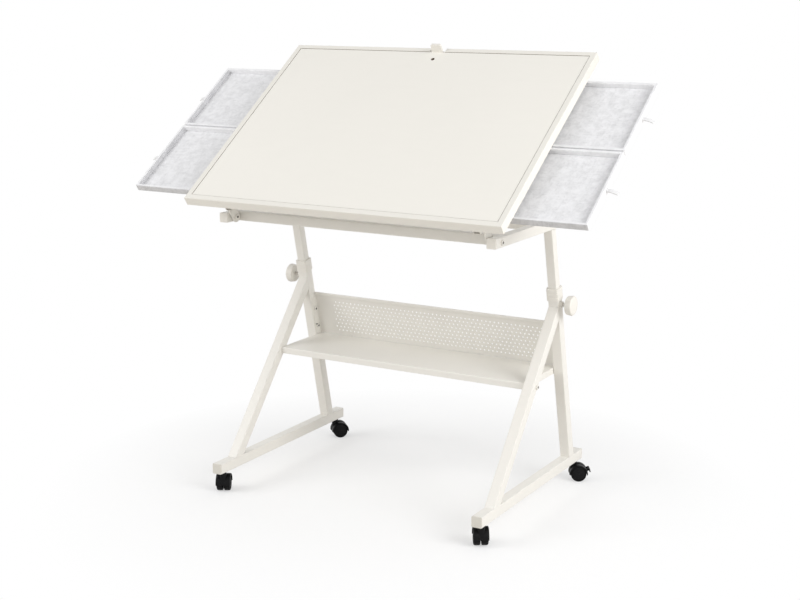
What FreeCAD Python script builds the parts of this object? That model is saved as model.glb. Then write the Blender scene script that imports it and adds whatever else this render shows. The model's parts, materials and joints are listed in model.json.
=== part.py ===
import FreeCAD, Part
import math
import os
from FreeCAD import Vector

# A jigsaw puzzle table: a tilting work board with four pull-out sorting trays, on a
# height-adjustable steel frame with a perforated-back shelf and four twin-wheel casters.
# Millimetres. +X is to the user's right, +Y is away from the user, +Z is up, the floor is Z = 0.
# The pieces are worked out with X = 0 on the middle of the frame and Y = 0 on the middle of the
# foot bars, and are moved at the end so that the origin lies below the middle of the whole table.

# Work board
TOP_WIDTH = 890.0
TOP_DEPTH = 640.0
TOP_THICK = 24.0
RIM_WIDTH = 15.0
BED_DEPTH = 8.0
COVER_THICK = 7.0
COVER_GAP = 1.2
TOP_EDGE_RADIUS = 2.0
NOTCH_WIDTH = 44.0
NOTCH_DEPTH = 11.0
LIFT_HOLE = 10.0
LIFT_HOLE_SETBACK = 46.0
TAB_WIDTH = 30.0
TAB_THICK = 7.0
TAB_RISE = 22.0
TAB_CORNER = 5.0
TAB_CORNER_STEPS = 5

# Flats that stand for a round: on a tube's corner, on a small pin or hole, on a wheel or a large end
CORNER_STEPS = 2
PIN_SIDES = 12
ROUND_SIDES = 20

# Settings shown: tilt of the board and height of its top when it lies flat
TILT = 34.4
FLAT_HEIGHT = 836.5
PIVOT_SETBACK = 57.5
PIVOT_DROP = 108.5

# Foot bars, legs and posts
FRAME_CLEAR = 735.0
FOOT_LENGTH = 600.0
TUBE = 28.0
TUBE_WALL = 1.5
TUBE_CORNER = 3.0
CAP_THICK = 3.0
CAP_INSERT = 12.0
PLUG_GAP = 0.2
LEG_INSET = 84.0
LEG_JOIN = 492.5
POST_INSET = 70.0
POST_LEAN = 13.05
POST_TOP = 557.0

# Telescopic part
INNER_TUBE = 24.0
INNER_ENGAGED = 230.0
COLLAR_WALL = 3.0
COLLAR_HEIGHT = 33.0
COLLAR_RIM = 4.0
COLLAR_GAP = 0.3
RIB_COUNT = 2
RIB_DEPTH = 0.6
RIB_HEIGHT = 2.0

# Clamp knobs
KNOB_HEIGHT = 516.0
KNOB_DIAMETER = 52.0
KNOB_SKIRT = 15.0
KNOB_DOME = 5.0
KNOB_DOME_STEPS = 3
KNOB_TAPER = 0.93
KNOB_SIDES = 24
KNOB_OFFSET = 20.0
STUD_DIAMETER = 8.0
STUD_RUN = 0.06
BOSS_ACROSS = 15.0
BOSS_LENGTH = 7.0

# Upper frame
RAIL = 25.0
RAIL_WALL = 1.5
RAIL_CORNER = 2.5
RAIL_FRONT_OVERRUN = 30.0
RAIL_REAR_OVERRUN = 23.0
RAIL_CAP_THICK = 2.5
PIVOT_Y = -212.0
FRONT_RAIL_FACE = -195.0
REAR_RAIL_FACE = 38.0

# Hinge and prop
PIVOT_BOLT = 8.0
PIVOT_RUN = 0.05
HINGE_PLATE = 4.0
HINGE_HALF_WIDTH = 14.0
HINGE_WASHER = 3.0
WASHER_DIAMETER = 16.0
BEARER = 20.0
BEARER_WALL = 1.5
PROP_FORWARD = 40.5
PROP_WIDTH = 18.0
PROP_THICK = 4.0
PROP_SIDE_GAP = 1.0
PROP_PIN = 6.0
GUIDE_PIN = 8.0
GUIDE_GAP = 0.3
GUIDE_END_GAP = 2.0
GUIDE_HEAD = 14.0
HEAD_THICK = 3.0

# Sorting trays and their runners
TRAY_HEIGHT = 18.0
TRAY_WALL = 8.0
TRAY_FLOOR = 3.0
TRAY_TOP_GAP = 1.5
TRAY_SIDE_GAP = 1.0
TRAY_CORNER = 3.0
LINING_THICK = 2.0
LINING_GAP = 0.5
FRONT_TRAY_SETBACK = 55.0
REAR_TRAY_SETBACK = 81.0
RIGHT_PULLED = 180.0
LEFT_PULLED = 208.0
RUNNER_SHEET = 2.0
RUNNER_LIP = 20.0
LIP_GAP = 0.3
STOP_WIDTH = 36.0
STOP_GAP = 2.0
STOP_THICK = 14.0
PULL_REACH = 26.0
PULL_DROP = 8.0
PULL_WIDTH = 10.0
PULL_THICK = 3.0
PULL_BACK = 2.0
PULL_STEPS = 4

# Shelf and perforated back
SHELF_TOP = 339.0
SHELF_LAP = 19.5
SHELF_LIP = 17.0
SHEET = 1.2
PANEL_OFFSET = 11.0
PANEL_RISE = 122.0
PANEL_HEM = 9.0
HEM_THICK = 3.0
EAR_FORWARD = 22.0
EAR_CHAMFER = 16.0
HOLE_PITCH = 30.0
HOLE_ACROSS = 9.5
HOLE_ROWS = 4
HOLE_END_MARGIN = 40.0
HOLE_FOOT_MARGIN = 18.0
BOLT_DIAMETER = 6.0
BOLT_HEAD = 12.0
BOLT_HEAD_THICK = 4.0
BOLT_GAP = 0.2
SCREW_SHARES = (0.2, 0.62)

# Casters
CASTER_HEIGHT = 56.0
CASTER_INSET = 26.0
WHEEL_DIAMETER = 42.0
WHEEL_WIDTH = 15.5
WHEEL_CHAMFER = 2.4
WHEEL_GAP = 0.6
WEB_THICK = 5.0
TRAIL = 14.0
HOOD_GAP = 1.0
HOOD_WALL = 5.0
HOOD_DROP = 2.0
AXLE_DIAMETER = 6.0
AXLE_RUN = 0.06
SWIVEL_BOSS = 18.0
STEM_DIAMETER = 8.0
STEM_LENGTH = 19.0
STEM_RUN = 0.08
SWIVEL_GAP = 0.3
PEDAL_ANGLE = 24.0
PEDAL_HUB = 6.0
PEDAL_PIN = 3.0
PEDAL_WIDTH = 15.0
PEDAL_REACH = 11.0
PEDAL_THICK = 3.0
PEDAL_DROOP = 74.0
PEDAL_EAR = 2.4
PEDAL_GAP = 0.3
# Heading of each caster's trail, in degrees from +X
CASTER_HEADINGS = {
    "front_left": 118.0,
    "front_right": 122.0,
    "rear_left": 45.0,
    "rear_right": 30.0,
}

# Values worked out from the sizes above
SIDES = {"left": -1.0, "right": 1.0}
FRAME_X = FRAME_CLEAR / 2 + TUBE / 2
BAR_TOP = CASTER_HEIGHT + TUBE
LEG_FOOT = LEG_INSET - FOOT_LENGTH / 2
POST_FOOT = FOOT_LENGTH / 2 - POST_INSET
POST_SLOPE = math.radians(POST_LEAN)
JOIN_Y = POST_FOOT - (LEG_JOIN - BAR_TOP) * math.tan(POST_SLOPE) - TUBE / 2 / math.cos(POST_SLOPE)
LEG_SLOPE = math.atan2(JOIN_Y - LEG_FOOT, LEG_JOIN - BAR_TOP)
SHELF_BOLT_Z = SHELF_TOP - SHELF_LIP / 2
LEG_REAR_Y = LEG_FOOT + TUBE / 2 / math.cos(LEG_SLOPE) + (SHELF_BOLT_Z - BAR_TOP) * math.tan(LEG_SLOPE)
SHELF_FRONT = LEG_REAR_Y - SHELF_LAP
PIVOT_Z = FLAT_HEIGHT - PIVOT_DROP
RAIL_BOTTOM = PIVOT_Z - RAIL / 2
RAIL_INNER_X = FRAME_X - RAIL / 2
HINGE_OUTER_X = RAIL_INNER_X - HINGE_WASHER
BEARER_OUTER_X = HINGE_OUTER_X - HINGE_PLATE
UNDERSIDE = PIVOT_DROP - TOP_THICK
TRAY_TOP = UNDERSIDE - TRAY_TOP_GAP
TRAY_BOTTOM = TRAY_TOP - TRAY_HEIGHT
LIP_TOP = TRAY_BOTTOM - LIP_GAP
LIP_BOTTOM = LIP_TOP - RUNNER_SHEET
BEARER_MID = LIP_BOTTOM - BEARER / 2
PROP_REACH = TOP_DEPTH / 2 - PIVOT_SETBACK - PROP_FORWARD
PROP_LENGTH = math.hypot(PROP_REACH, BEARER_MID)
PROP_RISE = math.atan2(BEARER_MID, PROP_REACH)
GUIDE_REST_Y = PIVOT_Y + 2 * PROP_LENGTH * math.cos(math.radians(TILT) + PROP_RISE)
GUIDE_FLAT_Y = PIVOT_Y + 2 * PROP_REACH
RAIL_FRONT = PIVOT_Y - RAIL_FRONT_OVERRUN
RAIL_REAR = GUIDE_FLAT_Y + RAIL_REAR_OVERRUN
TRAY_LENGTH = TOP_WIDTH / 2 - STOP_WIDTH / 2 - STOP_GAP
TRAY_GAP = RUNNER_SHEET + 2 * TRAY_SIDE_GAP
TRAY_DEPTH = (TOP_DEPTH - FRONT_TRAY_SETBACK - REAR_TRAY_SETBACK - TRAY_GAP) / 2
RUNNER_HALF_LENGTH = TOP_WIDTH / 2 - RIM_WIDTH
TRAY_STARTS = {
    "front": FRONT_TRAY_SETBACK,
    "rear": FRONT_TRAY_SETBACK + TRAY_DEPTH + TRAY_GAP,
}
WHEEL_RADIUS = WHEEL_DIAMETER / 2
# A length that reaches past the whole table, for blocks that cut
FAR = 2 * (FLAT_HEIGHT + TOP_WIDTH + FOOT_LENGTH)


def block(x_min, x_max, y_min, y_max, z_min, z_max):
    """A box between two corners."""
    return Part.makeBox(x_max - x_min, y_max - y_min, z_max - z_min, Vector(x_min, y_min, z_min))


def ring_solid(rings):
    """A solid with flat faces between successive rings of points and across both ends."""
    outlines = [rings[0], rings[-1]]
    for lower, upper in zip(rings, rings[1:]):
        for index in range(len(lower)):
            following = (index + 1) % len(lower)
            outlines.append([lower[index], lower[following], upper[following], upper[index]])
    faces = [Part.Face(Part.makePolygon(outline + outline[:1])) for outline in outlines]
    solid = Part.Solid(Part.Shell(faces))
    if solid.Volume < 0:
        solid.reverse()
    return solid


def flats_ring(radius, sides, height):
    """The corners of a regular outline round the Z axis, with its flats towards X and Y."""
    angles = [2 * math.pi * (index + 0.5) / sides for index in range(sides)]
    return [Vector(radius * math.cos(angle), radius * math.sin(angle), height) for angle in angles]


def pin(diameter, start, end):
    """A round pin from one point to another."""
    run = end.sub(start)
    return Part.makeCylinder(diameter / 2, run.Length, start, run)


def rod(diameter, start, end, sides=PIN_SIDES):
    """A bar with flats from one point to another, with its corners on a diameter."""
    run = end.sub(start)
    bar = ring_solid([flats_ring(diameter / 2, sides, 0), flats_ring(diameter / 2, sides, run.Length)])
    bar.Placement = FreeCAD.Placement(start, FreeCAD.Rotation(Vector(0, 0, 1), run))
    return bar


def hole(diameter, start, end, sides=PIN_SIDES):
    """A bar that cuts a hole from one point to another, with its flats on a diameter."""
    return rod(diameter / math.cos(math.pi / sides), start, end, sides)


def across(make, diameter, x_min, x_max, y, z, *sides):
    """A pin, rod or hole along X."""
    return make(diameter, Vector(x_min, y, z), Vector(x_max, y, z), *sides)


def rounded_ring(width, depth, radius, height, steps):
    """The corners of a rectangle with rounded corners, centred on the Z axis."""
    ring = []
    for quarter, (side_x, side_y) in enumerate(((1, 1), (-1, 1), (-1, -1), (1, -1))):
        middle = Vector(side_x * (width / 2 - radius), side_y * (depth / 2 - radius), height)
        for step in range(steps + 1):
            angle = math.pi / 2 * (quarter + step / steps)
            ring.append(middle + Vector(radius * math.cos(angle), radius * math.sin(angle), 0))
    return ring


def square_bar(width, depth, radius, length, bevel=0.0, steps=CORNER_STEPS):
    """A solid bar with rounded edges, standing on the origin, with a bevel round its top."""
    rings = [rounded_ring(width, depth, radius, height, steps) for height in (0, length - bevel)]
    if bevel > 0:
        rings.append(rounded_ring(width - 2 * bevel, depth - 2 * bevel, radius - bevel, length, steps))
    return ring_solid(rings)


def square_tube(side, wall, radius, length):
    """A hollow square tube, standing on the origin."""
    hollow = side - 2 * wall
    core = Part.makeBox(hollow, hollow, length, Vector(-hollow / 2, -hollow / 2, 0))
    return square_bar(side, side, radius, length).cut(core)


def plate(points, thickness, normal):
    """A flat plate with a polygon outline, thickened along a normal."""
    outline = [Vector(*point) for point in points]
    face = Part.Face(Part.makePolygon(outline + outline[:1]))
    length = Vector(*normal)
    length.Length = thickness
    return face.extrude(length)


def along_y(shape):
    """Turn a shape that stands along Z so that it lies along Y."""
    turned = shape.copy()
    turned.rotate(Vector(0, 0, 0), Vector(1, 0, 0), -90)
    return turned


def along_x(shape):
    """Turn a shape that stands along Z so that it lies along X."""
    turned = shape.copy()
    turned.rotate(Vector(0, 0, 0), Vector(0, 1, 0), 90)
    return turned


def placed(shape, x, y, z):
    """A copy of a shape, moved."""
    moved = shape.copy()
    moved.translate(Vector(x, y, z))
    return moved


def mirrored(shape, side):
    """The right-hand shape itself, or its mirror image for the left-hand side."""
    if side > 0:
        return shape
    return shape.mirror(Vector(0, 0, 0), Vector(1, 0, 0))


def both_sides(shape):
    """A right-hand shape together with its left-hand twin."""
    return Part.makeCompound([mirrored(shape, side) for side in SIDES.values()])


def fused(shapes):
    """One solid from shapes that meet."""
    return shapes[0].multiFuse(shapes[1:]).removeSplitter()


def tilted(shape):
    """Move a shape from the board's own frame, where the pivot is the origin, to its place."""
    moved = shape.copy()
    moved.rotate(Vector(0, 0, 0), Vector(1, 0, 0), TILT)
    moved.translate(Vector(0, PIVOT_Y, PIVOT_Z))
    return moved


def from_front(setback):
    """Place along the board, in its own frame, of a distance from its front edge."""
    return setback - PIVOT_SETBACK


def post_point(height):
    """The point on a post's middle line at a height."""
    return Vector(FRAME_X, POST_FOOT - (height - BAR_TOP) * math.tan(POST_SLOPE), height)


def leaned(shape, height):
    """Lean a shape that stands on the origin with the post, with its foot at a height."""
    moved = shape.copy()
    moved.rotate(Vector(0, 0, 0), Vector(1, 0, 0), POST_LEAN)
    moved.translate(post_point(height))
    return moved


def end_plug(side, wall, radius, thickness):
    """A plastic cap for a square tube: a bevelled flange with a plug below it."""
    hollow = side - 2 * (wall + PLUG_GAP)
    plug = Part.makeBox(hollow, hollow, CAP_INSERT, Vector(-hollow / 2, -hollow / 2, -CAP_INSERT))
    return fused([square_bar(side, side, radius, thickness, thickness / 3), plug])


def hexagon(across_flats, x_min, x_max, y, z):
    """A bolt head or nut along X."""
    return across(hole, across_flats, x_min, x_max, y, z, 6)


def bolt_along_x(diameter, head, head_thick, outer_x, inner_x, y, z):
    """A bolt along X for the right-hand side: its head beyond outer_x and its nut beyond inner_x."""
    shank = across(rod, diameter, inner_x, outer_x, y, z)
    head_solid = hexagon(head, outer_x, outer_x + head_thick, y, z)
    nut = hexagon(head, inner_x - head_thick, inner_x, y, z)
    return fused([head_solid, shank, nut])


# Base: foot bars, legs, posts
def foot_bar():
    """The right-hand foot bar, with a hole for each caster's stem."""
    length = FOOT_LENGTH - 2 * CAP_THICK
    bar = along_y(square_tube(TUBE, TUBE_WALL, TUBE_CORNER, length))
    bar = placed(bar, FRAME_X, -length / 2, CASTER_HEIGHT + TUBE / 2)
    for end in (-1, 1):
        stem_y = end * (FOOT_LENGTH / 2 - CASTER_INSET)
        foot = Vector(FRAME_X, stem_y, CASTER_HEIGHT - TUBE_WALL)
        bar = bar.cut(hole(STEM_DIAMETER + 2 * STEM_RUN, foot, foot + Vector(0, 0, 3 * TUBE_WALL)))
    return bar


def foot_caps():
    """The four caps that close the foot bars."""
    caps = []
    for side in SIDES.values():
        cap = along_y(end_plug(TUBE, TUBE_WALL, TUBE_CORNER, CAP_THICK))
        rear = placed(cap, side * FRAME_X, FOOT_LENGTH / 2 - CAP_THICK, CASTER_HEIGHT + TUBE / 2)
        caps.append(rear)
        caps.append(rear.mirror(Vector(0, 0, 0), Vector(0, 1, 0)))
    return Part.makeCompound(caps)


def leg_bolt_place():
    """The Y and Z of the bolt that holds the shelf to a front leg."""
    return LEG_REAR_Y - SHELF_LAP / 2, SHELF_BOLT_Z


def ear_screw_places():
    """The Y and Z of the two screws that hold the panel's ear to a rear post."""
    heights = [SHELF_TOP + share * PANEL_RISE for share in SCREW_SHARES]
    return [(post_point(height).y, height) for height in heights]


def bolt_hole(y, z, reach):
    """A clearance hole into the right-hand frame, from its inner side as far as a distance."""
    start = FRAME_CLEAR / 2
    return across(hole, BOLT_DIAMETER + 2 * BOLT_GAP, start - 2 * SHEET, start + reach + SHEET / 2, y, z)


def front_leg():
    """The right-hand front leg: from the foot bar up to the front of the post."""
    length = (POST_TOP - BAR_TOP) / math.cos(LEG_SLOPE) + 4 * TUBE
    leg = placed(square_tube(TUBE, TUBE_WALL, TUBE_CORNER, length), 0, 0, -2 * TUBE)
    leg.rotate(Vector(0, 0, 0), Vector(1, 0, 0), -math.degrees(LEG_SLOPE))
    leg.translate(Vector(FRAME_X, LEG_FOOT, BAR_TOP))
    below = block(0, FAR, -FAR, FAR, -FAR, BAR_TOP)
    behind = block(-TUBE, TUBE, -TUBE / 2, FAR, -FAR, FAR)
    leg = leg.cut(below).cut(leaned(behind, BAR_TOP))
    return leg.cut(bolt_hole(*leg_bolt_place(), TUBE))


def rear_post():
    """The right-hand rear post, which the inner tube slides in."""
    reach = TUBE * math.tan(POST_SLOPE)
    length = (POST_TOP - BAR_TOP) / math.cos(POST_SLOPE) + reach
    post = placed(square_tube(TUBE, TUBE_WALL, TUBE_CORNER, length), 0, 0, -reach)
    post = leaned(post, BAR_TOP)
    post = post.cut(block(0, FAR, -FAR, FAR, -FAR, BAR_TOP))
    stud_at = post_point(KNOB_HEIGHT)
    stud_hole = across(hole, STUD_DIAMETER + 2 * STUD_RUN, FRAME_X, FRAME_X + TUBE, stud_at.y, stud_at.z)
    holes = [bolt_hole(y, z, TUBE_WALL) for y, z in ear_screw_places()]
    return post.cut(Part.makeCompound([stud_hole] + holes))


def post_collar():
    """The plastic sleeve on top of the right-hand post, with grip ribs round it."""
    width = TUBE + 2 * COLLAR_WALL
    below_top = COLLAR_HEIGHT - COLLAR_RIM
    half_bore = INNER_TUBE / 2 + COLLAR_GAP
    corner = TUBE_CORNER + COLLAR_WALL
    sleeve = placed(square_bar(width, width, corner, COLLAR_HEIGHT, COLLAR_GAP), 0, 0, -below_top)
    seat = block(-TUBE / 2, TUBE / 2, -TUBE / 2, TUBE / 2, -below_top, 0)
    bore = block(-half_bore, half_bore, -half_bore, half_bore, -below_top, COLLAR_HEIGHT)
    pitch = COLLAR_HEIGHT / (RIB_COUNT + 1)
    groove = Part.makeBox(2 * width, 2 * width, RIB_HEIGHT, Vector(-width, -width, -RIB_HEIGHT / 2))
    core = width - 2 * RIB_DEPTH
    groove = groove.cut(placed(square_bar(core, core, corner, COLLAR_HEIGHT), 0, 0, -below_top))
    grooves = [placed(groove, 0, 0, (index + 1) * pitch - below_top) for index in range(RIB_COUNT)]
    return leaned(sleeve.cut(Part.makeCompound([seat, bore] + grooves)), POST_TOP)


def clamp_boss():
    """The welded nut for the clamp stud, on the outer face of the right-hand post."""
    at = post_point(KNOB_HEIGHT)
    face = FRAME_X + TUBE / 2
    boss = hexagon(BOSS_ACROSS, face, face + BOSS_LENGTH, at.y, at.z)
    return boss.cut(across(hole, STUD_DIAMETER + 2 * STUD_RUN, face, face + BOSS_LENGTH, at.y, at.z))


# Shelf and perforated back panel
def panel_front_y():
    """The Y of the panel's front face where it meets the shelf."""
    return post_point(SHELF_TOP).y + PANEL_OFFSET / math.cos(POST_SLOPE)


def shelf_plate():
    """The sheet-steel shelf: a flat top with its front and both ends turned down."""
    half = FRAME_CLEAR / 2
    rear = panel_front_y() + 2 * HEM_THICK
    lip_bottom = SHELF_TOP - SHELF_LIP
    shell = block(-half, half, SHELF_FRONT, rear, lip_bottom, SHELF_TOP)
    hollow = block(-half + SHEET, half - SHEET, SHELF_FRONT + SHEET, rear, lip_bottom, SHELF_TOP - SHEET)
    front_edge = [edge for edge in shell.Edges if edge.BoundBox.XLength > half
                  and edge.BoundBox.YMax < SHELF_FRONT + 1e-6 and edge.BoundBox.ZMin > SHELF_TOP - 1e-6]
    shelf = shell.makeFillet(2 * SHEET, front_edge).cut(hollow)
    return shelf.cut(across(hole, BOLT_DIAMETER + 2 * BOLT_GAP, -FRAME_X, FRAME_X, *leg_bolt_place()))


def back_panel():
    """The perforated back panel with its hemmed top edge."""
    half = FRAME_CLEAR / 2 - SHEET
    height = PANEL_RISE / math.cos(POST_SLOPE)
    foot = -2 * HEM_THICK * math.tan(POST_SLOPE)
    ends = ((-half, foot), (half, foot), (half, height), (-half, height))
    corners = [Vector(x, 0, z) for x, z in ends]
    wires = [Part.makePolygon(corners + corners[:1])]
    row_step = HOLE_PITCH * math.sqrt(3) / 2
    radius = HOLE_ACROSS / math.sqrt(3)
    angles = [math.radians(60 * index + 30) for index in range(6)]
    hole_outline = [Vector(radius * math.cos(angle), 0, radius * math.sin(angle)) for angle in angles]
    columns = int((2 * half - 2 * HOLE_END_MARGIN) / HOLE_PITCH)
    for row in range(HOLE_ROWS):
        middle_z = HOLE_FOOT_MARGIN + row * row_step
        count = columns + row % 2
        for column in range(count):
            middle = Vector((column - (count - 1) / 2) * HOLE_PITCH, 0, middle_z)
            ring = [middle + corner for corner in hole_outline]
            wires.append(Part.makePolygon(ring + ring[:1]))
    sheet = Part.Face(wires).extrude(Vector(0, SHEET, 0))
    hem = block(-half, half, -HEM_THICK + SHEET, SHEET, height - PANEL_HEM, height)
    panel = placed(fused([sheet, hem]), 0, PANEL_OFFSET, 0)
    panel = placed(leaned(panel, SHELF_TOP), -FRAME_X, 0, 0)
    return panel.cut(block(-FAR, FAR, -FAR, FAR, -FAR, SHELF_TOP))


def panel_ear():
    """The ear that holds the right-hand end of the panel to the inner face of the post."""
    half = FRAME_CLEAR / 2
    height = (PANEL_RISE - HEM_THICK) / math.cos(POST_SLOPE)
    rear = PANEL_OFFSET + SHEET
    front = rear - EAR_FORWARD
    foot = EAR_FORWARD * math.tan(POST_SLOPE)
    outline = [(half - SHEET, rear, -foot), (half - SHEET, front, -foot),
               (half - SHEET, front, height - EAR_CHAMFER),
               (half - SHEET, front + EAR_CHAMFER, height), (half - SHEET, rear, height)]
    ear = placed(plate(outline, SHEET, (1, 0, 0)), -FRAME_X, 0, 0)
    ear = leaned(ear, SHELF_TOP)
    ear = ear.cut(block(-FAR, FAR, -FAR, FAR, -FAR, SHELF_TOP))
    holes = [bolt_hole(y, z, 0) for y, z in ear_screw_places()]
    return ear.cut(Part.makeCompound(holes))


def shelf_bolts():
    """The right-hand bolt through leg and shelf, and the screws that hold the panel's ear."""
    outer = FRAME_X + TUBE / 2
    inner = FRAME_CLEAR / 2 - SHEET
    bolts = [bolt_along_x(BOLT_DIAMETER, BOLT_HEAD, BOLT_HEAD_THICK, outer, inner, *leg_bolt_place())]
    for y, z in ear_screw_places():
        shank = across(rod, BOLT_DIAMETER, inner, inner + SHEET + TUBE_WALL, y, z)
        bolts.append(fused([shank, hexagon(BOLT_HEAD, inner - BOLT_HEAD_THICK, inner, y, z)]))
    return Part.makeCompound(bolts)


# Upper frame
def side_rail():
    """The right-hand side rail, with a slot in its inner wall for the prop's guide pin."""
    length = RAIL_REAR - RAIL_FRONT - 2 * RAIL_CAP_THICK
    rail = along_y(square_tube(RAIL, RAIL_WALL, RAIL_CORNER, length))
    rail = placed(rail, FRAME_X, RAIL_FRONT + RAIL_CAP_THICK, PIVOT_Z)
    bore = across(hole, PIVOT_BOLT + 2 * BOLT_GAP, FRAME_X - RAIL, FRAME_X + RAIL, PIVOT_Y, PIVOT_Z)
    half_slot = GUIDE_PIN / 2 + GUIDE_GAP
    slot_start = GUIDE_REST_Y - GUIDE_END_GAP
    slot_end = GUIDE_FLAT_Y + GUIDE_END_GAP
    wall_x = (RAIL_INNER_X - RAIL_WALL, RAIL_INNER_X + 2 * RAIL_WALL)
    slot = fused([
        block(*wall_x, slot_start, slot_end, PIVOT_Z - half_slot, PIVOT_Z + half_slot),
        across(hole, 2 * half_slot, *wall_x, slot_start, PIVOT_Z),
        across(hole, 2 * half_slot, *wall_x, slot_end, PIVOT_Z),
    ])
    return rail.cut(Part.makeCompound([bore, slot]))


def rail_caps():
    """The four caps that close the side rails."""
    caps = []
    cap = along_y(end_plug(RAIL, RAIL_WALL, RAIL_CORNER, RAIL_CAP_THICK))
    for side in SIDES.values():
        caps.append(placed(cap, side * FRAME_X, RAIL_REAR - RAIL_CAP_THICK, PIVOT_Z))
        front = cap.mirror(Vector(0, 0, 0), Vector(0, 1, 0))
        caps.append(placed(front, side * FRAME_X, RAIL_FRONT + RAIL_CAP_THICK, PIVOT_Z))
    return Part.makeCompound(caps)


def cross_rail(face_y):
    """A rail between the two side rails, with its front face at a given Y."""
    rail = along_x(square_tube(RAIL, RAIL_WALL, RAIL_CORNER, 2 * RAIL_INNER_X))
    return placed(rail, -RAIL_INNER_X, face_y + RAIL / 2, PIVOT_Z)


def inner_tube():
    """The right-hand inner tube, from below the side rail down into the post."""
    above = (RAIL_BOTTOM - POST_TOP) / math.cos(POST_SLOPE) + INNER_TUBE
    tube = square_tube(INNER_TUBE, TUBE_WALL, RAIL_CORNER, INNER_ENGAGED + above)
    tube = leaned(placed(tube, 0, 0, -INNER_ENGAGED), POST_TOP)
    return tube.cut(block(0, FAR, -FAR, FAR, RAIL_BOTTOM, FAR))


def pivot_bolt():
    """The right-hand bolt that the board tilts on, with its washer between rail and hinge plate."""
    inner, outer = BEARER_OUTER_X, RAIL_INNER_X + RAIL
    bolt = bolt_along_x(PIVOT_BOLT, BOLT_HEAD, BOLT_HEAD_THICK, outer, inner, PIVOT_Y, PIVOT_Z)
    return fused([bolt, across(rod, WASHER_DIAMETER, HINGE_OUTER_X, RAIL_INNER_X, PIVOT_Y, PIVOT_Z)])


# Work board, in its own frame
def board_frame():
    """The board: a thick panel with a rim round a shallow bed, notched at the rear."""
    front, rear = from_front(0), from_front(TOP_DEPTH)
    half = TOP_WIDTH / 2
    board = block(-half, half, front, rear, UNDERSIDE, PIVOT_DROP)
    rim_edges = [edge for edge in board.Edges if edge.BoundBox.ZMin > PIVOT_DROP - 1e-6]
    board = board.makeFillet(TOP_EDGE_RADIUS, rim_edges)
    bed = block(-half + RIM_WIDTH, half - RIM_WIDTH, front + RIM_WIDTH, rear - RIM_WIDTH,
                PIVOT_DROP - BED_DEPTH, PIVOT_DROP + BED_DEPTH)
    notch = block(-NOTCH_WIDTH / 2, NOTCH_WIDTH / 2, rear - RIM_WIDTH - COVER_GAP, rear + RIM_WIDTH,
                  PIVOT_DROP - NOTCH_DEPTH, PIVOT_DROP + NOTCH_DEPTH)
    return board.cut(bed).cut(notch)


def cover_panel():
    """The loose cover that drops into the bed, with a small lift hole near its rear edge."""
    half = TOP_WIDTH / 2 - RIM_WIDTH - COVER_GAP
    front = from_front(RIM_WIDTH + COVER_GAP)
    rear = from_front(TOP_DEPTH - RIM_WIDTH - COVER_GAP)
    base = PIVOT_DROP - BED_DEPTH
    cover = block(-half, half, front, rear, base, base + COVER_THICK)
    hole_y = from_front(TOP_DEPTH - LIFT_HOLE_SETBACK)
    foot = Vector(0, hole_y, base - COVER_THICK)
    return cover.cut(hole(LIFT_HOLE, foot, foot + Vector(0, 0, 3 * COVER_THICK), ROUND_SIDES))


def cover_tab():
    """The pull tab on the cover's rear edge, standing in the notch of the rim."""
    face = from_front(TOP_DEPTH - RIM_WIDTH - COVER_GAP)
    foot = PIVOT_DROP - BED_DEPTH
    height = BED_DEPTH + TAB_RISE
    tab = square_bar(TAB_WIDTH, 2 * height, TAB_CORNER, TAB_THICK, 0, TAB_CORNER_STEPS)
    tab = tab.cut(block(-TAB_WIDTH, TAB_WIDTH, -2 * height, 0, -TAB_THICK, 2 * TAB_THICK))
    tab.rotate(Vector(0, 0, 0), Vector(1, 0, 0), 90)
    return placed(tab, 0, face + TAB_THICK, foot)


def edge_runner(tray_edge, away):
    """The bearer beside a tray's outer edge, with the lip that the edge slides on."""
    near = tray_edge + away * TRAY_SIDE_GAP
    far = near + away * BEARER
    lip_end = tray_edge - away * RUNNER_LIP
    length = 2 * RUNNER_HALF_LENGTH
    height = UNDERSIDE - LIP_TOP
    tube = block(-length / 2, length / 2, min(near, far), max(near, far), LIP_TOP, UNDERSIDE)
    tube = tube.cut(block(-length / 2, length / 2, min(near, far) + BEARER_WALL, max(near, far) - BEARER_WALL,
                          LIP_TOP + BEARER_WALL, LIP_TOP + height - BEARER_WALL))
    lip = block(-length / 2, length / 2, min(far, lip_end), max(far, lip_end), LIP_BOTTOM, LIP_TOP)
    return fused([tube, lip])


def middle_runner():
    """The inverted T between the front and rear trays."""
    web = from_front(TRAY_STARTS["front"] + TRAY_DEPTH + TRAY_SIDE_GAP)
    half = RUNNER_HALF_LENGTH
    middle = web + RUNNER_SHEET / 2
    stem = block(-half, half, web, web + RUNNER_SHEET, LIP_TOP, UNDERSIDE)
    lip = block(-half, half, middle - RUNNER_LIP, middle + RUNNER_LIP, LIP_BOTTOM, LIP_TOP)
    return fused([stem, lip])


def tray_stops():
    """The battens in the middle of the underside that the trays close against."""
    stops = []
    half = STOP_WIDTH / 2
    for start in TRAY_STARTS.values():
        front = from_front(start + 2 * RUNNER_LIP)
        rear = from_front(start + TRAY_DEPTH - 2 * RUNNER_LIP)
        stops.append(block(-half, half, front, rear, UNDERSIDE - STOP_THICK, UNDERSIDE))
    return Part.makeCompound(stops)


def bearer_ends():
    """Where the front-to-back bearers start and end along the board."""
    start = from_front(TRAY_STARTS["front"] - TRAY_SIDE_GAP - BEARER)
    end = from_front(TRAY_STARTS["rear"] + TRAY_DEPTH + TRAY_SIDE_GAP + BEARER)
    return start, end


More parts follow.
